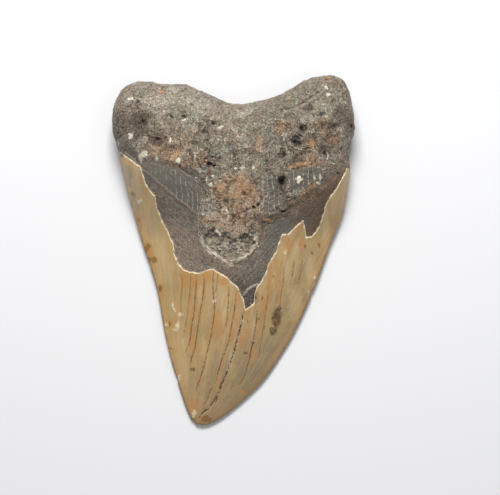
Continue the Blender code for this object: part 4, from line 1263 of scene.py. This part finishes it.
class Paint(Tree):
    """A material's tree, with places in millimetres and the effects that the materials share."""

    def __init__(self, tree):
        super().__init__(tree)
        self.place = self.scaled(self.node("ShaderNodeTexCoord").outputs["Object"], 1 / MM)

    @cached_property
    def x(self):
        return self.part(self.place, "X")

    @cached_property
    def y(self):
        return self.part(self.place, "Y")

    @cached_property
    def across(self):
        return self.field("across")

    def stain(self, name, size, raggedness, softness, seed):
        """A stain or patch of painted shade of the mesh, with an edge that is as ragged as said."""
        return self.group("Stain", Field=self.field(name), Vector=self.place, Size=size, Seed=seed,
                          Raggedness=raggedness, Softness=softness)

    def grit(self, size, contrast, seed):
        return self.group("Grit", Vector=self.place, Size=size, Contrast=contrast, Seed=seed)

    def grains(self, size, share):
        return self.group("Grains", Vector=self.place, Size=size, Share=share)

    def streaks(self, across, along, pitch, length, seed):
        return self.group("Streaks", Across=across, Along=along, Pitch=pitch, Length=length, Seed=seed)

    def growth(self, pitch, length, seed):
        """Streaks that run along the crown, as the enamel grew."""
        return self.streaks(self.across, self.y, pitch, length, seed)


def new_material(name, specular, roughness):
    """A material with a Principled BSDF, and its tree."""
    material = bpy.data.materials.new(name)
    material.use_nodes = True
    shader = material.node_tree.nodes["Principled BSDF"]
    shader.inputs["Specular IOR Level"].default_value = specular
    shader.inputs["Roughness"].default_value = roughness
    return material, Paint(material.node_tree), shader


def bumped(tree, shader, height):
    """Feed a height in millimetres to the shader's normal."""
    bump = tree.node("ShaderNodeBump", {"Strength": 1.0, "Distance": MM, "Height": height})
    tree.feed(shader.inputs["Normal"], bump.outputs[0])


# ------------------------------------------------------------------------ the enamel


def enamel_material(colours):
    """Tan enamel with growth streaks, stains, dirty cracks and a cream broken edge."""
    material, tree, shader = new_material("enamel", 0.5, 0.42)
    marks = SimpleNamespace(
        broad=tree.growth(5.0, 50.0, 1.0), narrow=tree.growth(2.4, 30.0, 2.0),
        thin=tree.growth(0.6, 12.0, 3.0), spots=tree.grit(1.3, 0.14, 5.0),
        specks=tree.grit(0.5, 0.12, 15.0), dots=tree.grit(0.7, 0.1, 22.0),
    )
    colour = enamel_ground(tree, colours, marks)
    colour, line = enamel_cracks(tree, colours, marks, colour)
    colour, lip, moss = enamel_edges(tree, colours, marks, colour)
    tree.feed(shader.inputs["Base Color"], colour)

    thin, spots = marks.thin, marks.spots
    dull = tree.most(tree.times(line, 0.9), lip, moss)
    gloss = tree.ramp(tree.add(tree.times(thin, 0.5), tree.times(spots, 0.5)), 0.2, 0.8, 0.33, 0.5)
    tree.feed(shader.inputs["Roughness"], tree.most(gloss, tree.times(dull, 0.8)))
    height = tree.add(tree.times(thin, 0.03), tree.times(marks.narrow, 0.04), tree.times(spots, 0.02))
    bumped(tree, shader, tree.less(height, tree.times(tree.most(line, moss), 0.1)))
    return material


def enamel_ground(tree, colours, marks):
    """The enamel's tan, with painted shade that greys it toward the lower right, and its broad stains and
    its streaks.
    """
    x, y = tree.x, tree.y
    cloud = tree.ramp(tree.noise(tree.place, 9.0, 4.0, detail=3.0), 0.35, 0.65)
    colour = tree.mix(tree.times(marks.broad, 0.5), colours.enamel, colours.enamel_pale)
    colour = tree.mix(tree.times(cloud, 0.4), colour, colours.enamel_olive)
    colour = tree.mix(tree.times(tree.grit(2.6, 0.12, 16.0), 0.4), colour, colours.enamel_olive)
    # painted shade: the crown greys toward the lower right, where it slopes away from the light
    toward = tree.less(tree.times(x, 0.5), tree.times(y, 0.6))
    toward = tree.add(toward, tree.times(tree.less(cloud, 0.5), 7.0), tree.times(marks.broad, -4.0))
    shaded = tree.ramp(toward, 4.0, 29.0, smooth=False)
    colour = tree.mix(tree.times(shaded, 0.74), colour, colours.enamel_grey)

    grey = tree.stain("slate", 5.0, 0.9, 0.35, 6.0)
    colour = tree.mix(tree.times(grey, 0.4), colour, colours.enamel_grey)
    lilac = tree.times(grey, tree.ramp(x, -22.0, -27.0, 0.0, 0.6))
    colour = tree.mix(lilac, colour, colours.enamel_lilac)
    yellow = tree.stain("yellow", 3.0, 1.0, 0.35, 7.0)
    colour = tree.mix(tree.times(yellow, 0.6), colour, colours.enamel_olive)
    cream = tree.stain("pale", 3.0, 1.0, 0.35, 20.0)
    colour = tree.mix(tree.times(cream, 0.6), colour, colours.enamel_pale)

    middle = tree.ramp(tree.maths("ABSOLUTE", tree.less(tree.across, 38.0)), 34.0, 18.0)
    warm = tree.ramp(shaded, 0.2, 1.0, 1.0, 0.5)
    warm = tree.times(tree.ramp(marks.narrow, 0.45, 0.8), middle, warm)
    colour = tree.mix(tree.times(warm, 0.62), colour, colours.enamel_orange)
    # grey streaks, stronger in the painted shade
    cool = tree.times(tree.ramp(tree.growth(2.0, 26.0, 19.0), 0.5, 0.85),
                      tree.ramp(shaded, 0.0, 0.8, 0.15, 0.3))
    colour = tree.mix(cool, colour, colours.enamel_grey)
    bleached = tree.times(tree.ramp(tree.growth(1.7, 20.0, 21.0), 0.5, 0.85),
                          tree.ramp(shaded, 0.3, 1.0, 0.55, 0.4))
    colour = tree.mix(bleached, colour, colours.enamel_silver)
    rust = tree.times(tree.stain("rust", 2.4, 1.2, 0.45, 8.0),
                      tree.ramp(tree.growth(1.0, 9.0, 24.0), 0.2, 0.7, 0.65, 1.0))
    rust = tree.times(rust, tree.ramp(marks.spots, 0.0, 1.0, 1.0, 0.75))
    colour = tree.mix(rust, colour, colours.enamel_orange)

    colour = tree.mix(tree.times(marks.thin, 0.2), colour, colours.enamel_grey)
    hairs = tree.times(tree.ramp(tree.growth(0.5, 9.0, 18.0), 0.7, 1.0),
                       tree.ramp(marks.specks, 0.1, 0.6))
    colour = tree.mix(tree.times(hairs, 0.4), colour, colours.enamel_grey)
    slanted = tree.streaks(tree.less(tree.times(x, 0.87), tree.times(y, 0.5)),
                           tree.add(tree.times(x, 0.5), tree.times(y, 0.87)), 0.7, 5.0, 17.0)
    colour = tree.mix(tree.times(slanted, 0.18), colour, colours.enamel_silver)
    colour = tree.mix(tree.times(marks.spots, 0.16), colour, colours.enamel_silver)
    return tree.mix(tree.ramp(marks.specks, 0.0, 0.3, 0.14, 0.0), colour, colours.enamel_grey)


def enamel_cracks(tree, colours, marks, colour):
    """The colour with the cracks, which are dark with rust beside them, and where their lines are."""
    gap, ratio, deep = tree.field("crack_gap"), tree.field("crack"), tree.field("deep")
    uneven = tree.ramp(tree.noise(tree.place, 2.0, 9.0, detail=4.0, roughness=0.7), 0.34, 0.66)
    dotted = tree.add(tree.times(uneven, 0.45), tree.times(marks.dots, 0.55))
    halo = tree.times(tree.ramp(gap, 0.9, 0.0), tree.ramp(uneven, 0.0, 1.0, 0.1, 0.5))
    colour = tree.mix(halo, colour, colours.enamel_orange)
    beside = tree.times(tree.grains(0.7, 0.35), tree.ramp(gap, 0.7, 0.3))
    colour = tree.mix(tree.times(beside, 0.4), colour, colours.enamel_brown)
    filled = tree.times(tree.ramp(deep, 0.15, 0.2), tree.ramp(dotted, 0.6, 0.3))
    fill = tree.times(filled, tree.ramp(ratio, 2.0, 1.2))
    colour = tree.mix(tree.times(fill, 0.3), colour, colours.crust)
    line = tree.times(tree.ramp(ratio, 1.7, 0.4), tree.ramp(dotted, 0.3, 0.58, 0.25, 1.0))
    colour = tree.mix(tree.times(line, tree.ramp(deep, 0.04, 0.2, 0.6, 1.0)), colour, colours.crack)
    crumbs = tree.times(tree.grains(0.6, 0.3), tree.ramp(ratio, 3.0, 1.5), tree.ramp(uneven, 0.4, 0.7))
    return tree.mix(tree.times(crumbs, 0.35), colour, colours.enamel_pale), line


def enamel_edges(tree, colours, marks, colour):
    """The colour browner near the outline, with rubbed edges, blots, moss and the broken lip, and where the
    lip and moss are.
    """
    spots, depth = marks.spots, tree.field("depth")
    # browner and more orange within 4 mm of the outline
    colour = tree.mix(tree.ramp(depth, 4.0, 0.3, 0.0, 0.25), colour, colours.enamel_orange)
    rubbed = tree.times(tree.ramp(depth, 1.0, 0.1), tree.ramp(spots, 0.2, 0.8, 0.1, 0.6))
    colour = tree.mix(rubbed, colour, colours.enamel_brown)
    blot = tree.times(tree.stain("blot", 1.2, 0.9, 0.15, 13.0), tree.ramp(spots, 0.0, 1.0, 0.95, 0.7))
    colour = tree.mix(blot, colour, colours.enamel_brown)
    moss = tree.stain("dark", 1.0, 1.6, 0.3, 10.0)
    mossy = tree.mix(0.5, colours.enamel_brown, colours.enamel_grey)
    colour = tree.mix(tree.times(moss, 0.7), colour, mossy)
    colour = tree.mix(tree.times(moss, tree.ramp(marks.dots, 0.65, 0.35)), colour, colours.crack)
    scratch = tree.times(tree.stain("crust", 0.6, 2.6, 0.2, 11.0),
                         tree.ramp(marks.specks, 0.1, 0.6, 0.3, 1.0))
    colour = tree.mix(tree.times(scratch, 0.65), colour, colours.fracture)
    wander = tree.less(tree.noise(tree.place, 1.3, 12.0, detail=3.0), 0.5)
    nicks = tree.less(tree.noise(tree.place, 0.5, 13.0, detail=2.0), 0.5)
    ragged = tree.add(tree.field("over_break"), tree.times(wander, 1.7), tree.times(nicks, 1.1))
    lip = tree.times(tree.ramp(ragged, -0.02, 0.08), tree.ramp(marks.specks, 0.0, 0.6, 0.45, 1.0))
    return tree.mix(tree.times(lip, 0.9), colour, colours.fracture), lip, moss


# ------------------------------------------------------------------------ the root


def root_material(colours):
    """Porous bone, with the striated bands and the bare fibrous dentine below it."""
    material, tree, shader = new_material("root_and_dentine", 0.35, 0.85)
    marks = SimpleNamespace(
        fine=tree.grit(0.7, 0.14, 21.0), medium=tree.grit(2.2, 0.14, 22.0),
        patches=tree.grit(6.0, 0.12, 23.0), pepper=tree.grit(0.42, 0.1, 24.0),
        broad=tree.grit(13.0, 0.12, 33.0), hue=tree.grit(2.8, 0.09, 34.0),
        rust=tree.stain("rust", 2.2, 1.7, 0.45, 26.0), crevice=tree.field("crevice"),
        wander=tree.less(tree.noise(tree.place, 1.8, 30.0, detail=4.0, roughness=0.65), 0.5),
    )
    bone, ruddy, bright = bone_paint(tree, colours, marks)
    dentine, tone, fibres = dentine_paint(tree, colours, marks, ruddy)
    on_bone = tree.ramp(tree.add(tree.field("over_margin"), tree.times(marks.wander, 1.2)), -0.4, 0.2)
    colour = tree.mix(on_bone, dentine, bone)
    colour, striated, lines = band_paint(tree, colours, marks, colour, bright, tone)
    colour = detail_paint(tree, colours, marks, colour, bright, tone)
    tree.feed(shader.inputs["Base Color"], colour)

    fine, medium, pepper = marks.fine, marks.medium, marks.pepper
    rough_part = tree.times(on_bone, tree.inverse(striated))
    tree.feed(shader.inputs["Roughness"], tree.ramp(pepper, 0.2, 0.9, 0.7, 0.48))
    rough = tree.add(tree.times(fine, 0.28), tree.times(pepper, 0.16), tree.times(medium, 0.25))
    smooth = tree.add(tree.times(fibres, 0.10), tree.times(fine, 0.1), tree.times(lines, 0.08))
    height = tree.add(tree.times(rough, rough_part), tree.times(smooth, tree.inverse(rough_part)))
    bumped(tree, shader, height)
    return material


def bone_paint(tree, colours, marks):
    """The bone's colour, and the two rust colours that the rest of the root has too."""
    x, y = tree.x, tree.y
    fine, medium, patches, pepper = marks.fine, marks.medium, marks.patches, marks.pepper
    broad, hue, crevice = marks.broad, marks.hue, marks.crevice
    # dark spots: partly dark stains, partly painted shade on the lobes' sides and in pits
    dark_stain_and_shade = tree.stain("dark", 2.0, 1.6, 0.4, 27.0)
    middle = tree.ramp(tree.add(tree.field("middle"), tree.times(patches, 0.2)), 0.1, 0.45)
    tone = tree.add(tree.times(fine, 0.42), tree.times(medium, 0.26), tree.times(pepper, 0.32))
    # the crevices between the lumps are painted darker, as painted shade
    stained = tree.add(tone, tree.times(middle, 0.24), tree.times(crevice, -0.5))
    lighter = tree.times(middle, tree.ramp(y, 6.0, 16.0, 0.26, 0.5))
    tone = tree.add(tone, lighter, tree.times(crevice, -0.4), tree.ramp(x, 4.0, 9.0, 0.0, -0.06))
    bone = tree.mix(tree.ramp(tone, 0.12, 0.95), colours.bone_dark, colours.bone_light)
    cool = tree.times(patches, tree.ramp(hue, 0.35, 0.8), tree.inverse(middle))
    bone = tree.tint(cool, bone, colours.bone_green)
    warm = tree.most(tree.times(broad, 0.7), dark_stain_and_shade, tree.times(middle, 0.5))
    bone = tree.tint(tree.times(warm, tree.ramp(hue, 0.6, 0.2)), bone, colours.bone_purple)
    blue = tree.stain("slate", 3.0, 1.2, 0.3, 25.0)
    bone = tree.tint(tree.times(blue, 0.8), bone, colours.bone_green)

    ruddy = tree.mix(tree.ramp(stained, 0.2, 0.85), colours.rust_dark, colours.rust)
    bone = tree.mix(tree.times(marks.rust, tree.ramp(hue, 0.0, 1.0, 0.5, 0.9)), bone, ruddy)
    flecks = tree.times(tree.grains(1.6, 0.25), tree.ramp(broad, 0.9, 0.1))
    bone = tree.mix(tree.times(flecks, 0.4), bone, ruddy)
    brown = tree.times(tree.ramp(hue, 0.2, 0.7, 0.2, 0.75), tree.ramp(y, 6.0, 14.0, 0.7, 1.0),
                       tree.ramp(x, -9.0, -2.0, 0.5, 1.0))
    bone = tree.mix(tree.times(middle, brown), bone, ruddy)
    ochre = tree.times(tree.grains(1.1, 0.4), tree.ramp(tree.field("yellow"), 0.0, 0.4, 0.25, 1.0))
    bone = tree.mix(tree.times(ochre, 0.55), bone, colours.ochre)

    crumbs = tree.ramp(tree.add(medium, patches), 0.9, 1.6, 0.05, 0.8)
    crumbs = tree.most(crumbs, tree.ramp(tree.field("pale"), 0.0, 0.4))
    pale = tree.stain("pale", 1.8, 1.0, 0.4, 38.0)
    bone = tree.mix(tree.times(pale, 0.32), bone, colours.bone_light)
    bone = tree.mix(tree.times(tree.grains(0.7, 0.45), crumbs, 0.75), bone, colours.crust)
    # darker toward the dentine's brown over the dark spots, partly painted shade
    darker = tree.times(dark_stain_and_shade, tree.ramp(hue, 0.0, 1.0, 0.7, 0.45))
    bone = tree.mix(darker, bone, colours.dentine)
    # painted shade: a soft darkening over the dark spots
    soft_painted_shade = tree.ramp(tree.add(tree.field("dark"), tree.times(hue, 0.2)), 0.1, 0.6, 0.0, 0.4)
    bone = tree.mix(soft_painted_shade, bone, tree.mix(fine, colours.pore, colours.dentine_light))
    # dark pores from the fine grain, deepened by painted shade in the crevices
    shade = tree.add(pepper, tree.times(fine, 0.6), tree.times(dark_stain_and_shade, -0.25))
    shade = tree.add(shade, tree.times(crevice, -0.6), tree.times(middle, 0.12))
    pores = tree.ramp(shade, 0.42, 0.05)
    bone = tree.mix(tree.times(pores, 0.75), bone, colours.pore)

    orange = tree.stain("orange", 1.2, 1.4, 0.25, 36.0)
    bright = tree.mix(tree.ramp(tone, 0.0, 0.7, 0.3, 1.0), colours.rust_dark, colours.rust)
    bone = tree.mix(tree.times(orange, tree.ramp(hue, 0.0, 0.8, 0.55, 0.85)), bone, bright)
    return bone, ruddy, bright


def dentine_paint(tree, colours, marks, ruddy):
    """The bare dentine's colour, its tone and its fibres, which run up and out from the middle."""
    x, y, hue, patches, pepper = tree.x, tree.y, marks.hue, marks.patches, marks.pepper
    aside = tree.maths("ABSOLUTE", tree.add(x, 2.0))
    fibres = tree.streaks(tree.less(y, aside), tree.add(aside, y), 1.0, 7.0, 28.0)
    tone = tree.add(tree.times(fibres, 0.3), tree.times(marks.fine, 0.35), tree.times(pepper, 0.15), 0.1)
    worn = tree.add(tone, tree.ramp(x, -8.0, -20.0, 0.0, 0.2), tree.times(marks.medium, 0.12), -0.03)
    dentine = tree.mix(tree.ramp(worn, 0.15, 0.9), colours.dentine, colours.dentine_light)
    grey = tree.mix(tree.ramp(tone, 0.15, 0.9), colours.slate, colours.dentine_grey)
    cool = tree.add(hue, patches, tree.ramp(tree.add(x, y), -14.0, -2.0, -0.4, 0.3))
    dentine = tree.mix(tree.ramp(cool, 0.3, 1.5, 0.1, 0.9), dentine, grey)
    right = tree.ramp(tree.add(x, tree.times(patches, 4.0)), 6.0, 14.0)
    dull_grey = tree.mix(tree.times(tone, 0.7), colours.slate, colours.dentine_grey)
    dentine = tree.mix(tree.times(right, 0.8), dentine, dull_grey)
    far_right = tree.ramp(tree.add(x, tree.times(patches, 4.0)), 20.0, 28.0)
    purple = tree.tint(1.0, tree.mix(tone, colours.pore, colours.dentine_light), colours.bone_purple)
    dentine = tree.mix(tree.times(far_right, tree.ramp(hue, 0.2, 0.8, 0.9, 0.6)), dentine, purple)
    notch = tree.ramp(tree.add(y, tree.times(patches, 3.0)), -4.0, -13.0, 0.0, 0.75)
    dentine = tree.mix(notch, dentine, tree.mix(tone, colours.pore, colours.slate))
    dentine = tree.mix(tree.times(marks.rust, 0.5), dentine, ruddy)
    flecks = tree.times(tree.grains(0.7, 0.2), tree.ramp(x, 16.0, 6.0), tree.ramp(hue, 0.2, 0.8))
    dentine = tree.mix(tree.times(flecks, 0.45), dentine, colours.bone_light)
    dentine = tree.mix(tree.times(tree.ramp(pepper, 0.35, 0.0), 0.6), dentine, colours.pore)
    return dentine, tone, fibres


def band_paint(tree, colours, marks, colour, bright, tone):
    """The colour with a rusty margin and the striated bands, where those are, and their lines."""
    x, y, medium, wander = tree.x, tree.y, marks.medium, marks.wander
    lines = tree.group("Scored Lines", Across=tree.add(x, tree.times(y, 0.06)), Vector=tree.place,
                       Pitch=1.7, Width=0.2, Seed=29.0)
    band = tree.mix(tree.times(tone, 0.7), colours.slate, colours.dentine_grey)
    faded = tree.add(tree.times(x, 0.05), tree.times(marks.patches, 0.5))
    faded = tree.ramp(faded, -1.2, -0.2, 0.1, 1.0)
    striated = tree.ramp(tree.add(tree.field("striated"), tree.times(wander, 5.0)), -0.6, 1.4)
    near = tree.add(tree.maths("ABSOLUTE", tree.field("over_margin")), tree.times(wander, 2.5))
    lower = tree.most(tree.ramp(x, -10.0, -5.0), tree.ramp(y, 16.0, 12.0))
    near = tree.times(tree.ramp(near, 1.8, 0.2), tree.ramp(medium, 0.2, 0.8), lower)
    colour = tree.mix(tree.times(near, tree.ramp(x, -6.0, 10.0, 0.1, 0.45)), colour, bright)
    ends = tree.add(tree.maths("ABSOLUTE", x), tree.times(marks.hue, 5.0))
    ends = tree.ramp(ends, 10.0, 17.0, 0.35, 1.0)
    colour = tree.mix(tree.times(striated, ends), colour, band)
    scored = tree.times(lines, faded, tree.ramp(striated, 0.0, 0.4))
    scored = tree.times(scored, tree.ramp(marks.pepper, 0.1, 0.6, 0.3, 1.0))
    return tree.mix(tree.times(scored, 0.55), colour, colours.crust), striated, lines


def detail_paint(tree, colours, marks, colour, bright, tone):
    """The colour with ridges, the crumbled hollow, crusts, the broken edge, and painted shade in pits, folds
    and holes.
    """
    fine, medium, hue, wander = marks.fine, marks.medium, marks.hue, marks.wander
    ridge = tree.ramp(tree.add(tree.field("ridge"), tree.times(wander, 0.8)), 0.7, 0.3)
    brown = tree.mix(tree.times(tone, 0.7), colours.rust_dark, colours.dentine_light)
    ridge_colour = tree.mix(tree.ramp(tree.x, -4.0, 0.0), brown, colours.bone_light)
    colour = tree.mix(tree.times(ridge, tree.ramp(medium, 0.1, 0.6, 0.1, 0.55)), colour, ridge_colour)

    hollow = tree.ramp(tree.add(tree.field("hollow"), tree.times(wander, 1.0)), -0.2, 0.5)
    floor = tree.mix(tree.ramp(tone, 0.2, 0.6), colours.bone_dark, colours.bone_light)
    floor = tree.mix(tree.times(tree.grains(1.6, 0.4), 0.5), floor, bright)
    floor = tree.mix(tree.times(tree.grains(1.0, 0.5), 0.8), floor, colours.crust)
    # painted shade in the crevices of the hollow's floor
    floor = tree.mix(tree.times(marks.crevice, 0.95), floor, colours.pore)
    floor = tree.mix(tree.ramp(hue, 0.3, 0.8, 0.0, 0.4), floor, colours.ochre)
    colour = tree.mix(tree.times(hollow, 0.85), colour, floor)

    # painted shade in the pits, darker in the deeper ones, and none in the hollow
    pit_shade = tree.ramp(tree.add(tree.field("pit"), tree.times(wander, 1.6)), 0.4, 0.9)
    colour = tree.mix(tree.times(pit_shade, tree.inverse(hollow), 0.4), colour, colours.pore)
    # painted shadow under the hollow's top rim, inside its arches
    under = tree.add(tree.field("hollow"), tree.times(wander, 1.6))
    arch_shadow = tree.times(tree.ramp(under, 1.2, 0.3), tree.ramp(under, -0.3, 0.1),
                      tree.ramp(tree.y, 2.0, 4.0))
    colour = tree.mix(tree.times(arch_shadow, tree.ramp(fine, 0.1, 0.7, 0.6, 0.1)), colour, colours.pore)

    raised = tree.ramp(tree.add(tree.field("pale_ridge"), tree.times(wander, 1.4)), 0.85, 0.15)
    pale = tree.mix(tree.ramp(tone, 0.05, 0.7, 0.1, 1.0), colours.rust, colours.crust)
    colour = tree.mix(tree.times(raised, tree.ramp(medium, 0.0, 0.7, 0.4, 0.95)), colour, pale)
    # painted shade along the grooves of the folds
    fold = tree.ramp(tree.add(tree.field("fold"), tree.times(wander, 1.2)), 0.45, 0.05)
    colour = tree.mix(tree.times(fold, tree.ramp(medium, 0.0, 0.8, 0.75, 0.25)), colour, colours.pore)
    # painted shade in the deep holes
    hole_shade = tree.stain("hole", 0.8, 2.0, 0.25, 35.0)
    colour = tree.mix(tree.times(hole_shade, 0.7), colour, colours.pore)
    crust = tree.stain("crust", 0.7, 1.8, 0.08, 31.0)
    colour = tree.mix(tree.times(crust, 0.95), colour, colours.crust)
    broken = tree.add(tree.field("over_break"), tree.times(wander, 0.9))
    edge = tree.times(tree.ramp(broken, 0.33, 0.15), tree.ramp(tree.field("over_margin"), 0.5, -0.5))
    edge = tree.times(edge, tree.ramp(medium, 0.0, 0.6, 0.2, 0.9))
    return tree.mix(edge, colour, colours.fracture)


# ------------------------------------------------------------------------ the table


TABLE_REACH = 1.2  # metres, from the tooth to the table's edges
TABLE_GRAIN = 0.8  # millimetres, of the table's speckles


def table_material(colour):
    """The pale table, with a barely visible grain."""
    material, tree, shader = new_material("table", 0.2, 0.7)
    speckle = tree.noise(tree.place, TABLE_GRAIN, 40.0)
    darker = [channel * 0.985 for channel in colour[:3]] + [1]
    tree.feed(shader.inputs["Base Color"], tree.mix(speckle, darker, tuple(colour)))
    tree.feed(shader.inputs["Roughness"], tree.ramp(speckle, 0.3, 0.7, 0.66, 0.74))
    bumped(tree, shader, tree.times(speckle, 0.01))
    return material


# ------------------------------------------------------------------------ operators

KEY_PLACE, KEY_SIZE = (-0.03, 0.44, 0.50), 0.26  # in metres: the main light is past the lobes
FILL_PLACE, FILL_SIZE = (0.35, -0.30, 0.65), 0.80
SENSOR_WIDTH = 36  # millimetres, of the camera

class FOSSIL_OT_tooth(bpy.types.Operator):
    """Make the tooth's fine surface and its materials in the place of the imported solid"""

    bl_idname = "fossil.tooth"
    bl_label = "Make Tooth"

    def execute(self, context):
        sizes, colours = context.scene.fossil_sizes, context.scene.fossil_colours
        make_shader_groups()
        tooth = bpy.data.objects.new("fossil_tooth", tooth_mesh(sizes))
        context.scene.collection.objects.link(tooth)
        evaluated(tooth, relief_tree(), {
            "Grain Size": sizes.grain_size, "Grain Height": sizes.grain_height,
            "Pore Spacing": sizes.pore_spacing, "Pore Depth": sizes.pore_depth,
            "Fibre Height": sizes.fibre_height, "Seed": sizes.relief_seed,
            "Enamel": enamel_material(colours), "Root": root_material(colours),
        })
        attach(tooth, "root")
        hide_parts(NODE)
        return {"FINISHED"}


class FOSSIL_OT_stage(bpy.types.Operator):
    """Make the pale table, the soft lights and the camera that looks straight down"""

    bl_idname = "fossil.stage"
    bl_label = "Make Stage"

    def execute(self, context):
        scene, stage = context.scene, context.scene.fossil_stage
        table = bpy.data.meshes.new("table")
        reach = TABLE_REACH
        corners = [(-reach, -reach, 0), (reach, -reach, 0), (reach, reach, 0), (-reach, reach, 0)]
        table.from_pydata(corners, [], [(0, 1, 2, 3)])
        table.materials.append(table_material(stage.table_colour))
        table = bpy.data.objects.new("table", table)
        scene.collection.objects.link(table)

        self.light(scene, "key", KEY_PLACE, KEY_SIZE, stage.key_power)
        self.light(scene, "fill", FILL_PLACE, FILL_SIZE, stage.fill_power)
        world = bpy.data.worlds.new("soft_light")
        scene.world = world
        world.use_nodes = True
        sky = world.node_tree.nodes["Background"].inputs
        sky["Color"].default_value = (0.98, 0.99, 1, 1)
        sky["Strength"].default_value = stage.sky
        scene.view_settings.view_transform = "Standard"

        lens = bpy.data.cameras.new("camera")
        lens.sensor_width = SENSOR_WIDTH
        lens.lens = SENSOR_WIDTH * stage.camera_height / stage.view_width
        camera = bpy.data.objects.new("camera", lens)
        camera.location = (stage.view_x, stage.view_y, stage.camera_height)
        scene.collection.objects.link(camera)
        scene.camera = camera
        return {"FINISHED"}

    def light(self, scene, name, place, size, power):
        """A square light that faces the tooth and that the camera doesn't see."""
        lamp = bpy.data.lights.new(name, "AREA")
        lamp.shape = "SQUARE"
        lamp.size = size
        lamp.energy = power
        light = bpy.data.objects.new(name, lamp)
        light.location = place
        light.rotation_euler = (-Vector(place)).to_track_quat("-Z", "Y").to_euler()
        light.visible_camera = False
        scene.collection.objects.link(light)


class FOSSIL_PT_sidebar(bpy.types.Panel):
    """Lists the operators, and the sizes and colours that they use"""

    bl_idname = "FOSSIL_PT_sidebar"
    bl_label = "Megalodon Tooth"
    bl_space_type = "VIEW_3D"
    bl_region_type = "UI"
    bl_category = "Fossil"

    def draw(self, context):
        scene = context.scene
        for operator, settings in (
            (FOSSIL_OT_tooth, (scene.fossil_sizes, scene.fossil_colours)),
            (FOSSIL_OT_stage, (scene.fossil_stage,)),
        ):
            box = self.layout.box()
            box.operator(operator.bl_idname)
            for group in settings:
                for name in group.bl_rna.properties.keys():
                    if name not in ("rna_type", "name"):
                        box.prop(group, name)


CLASSES = (ToothSizes, ToothColours, StageSettings, FOSSIL_OT_tooth, FOSSIL_OT_stage,
           FOSSIL_PT_sidebar)


def register():
    for cls in CLASSES:
        bpy.utils.register_class(cls)
    bpy.types.Scene.fossil_sizes = bpy.props.PointerProperty(type=ToothSizes)
    bpy.types.Scene.fossil_colours = bpy.props.PointerProperty(type=ToothColours)
    bpy.types.Scene.fossil_stage = bpy.props.PointerProperty(type=StageSettings)


def unregister():
    del bpy.types.Scene.fossil_stage
    del bpy.types.Scene.fossil_colours
    del bpy.types.Scene.fossil_sizes
    for cls in reversed(CLASSES):
        bpy.utils.unregister_class(cls)


def main():
    register()
    bpy.ops.fossil.tooth()
    bpy.ops.fossil.stage()


if __name__ == "__main__":
    main()
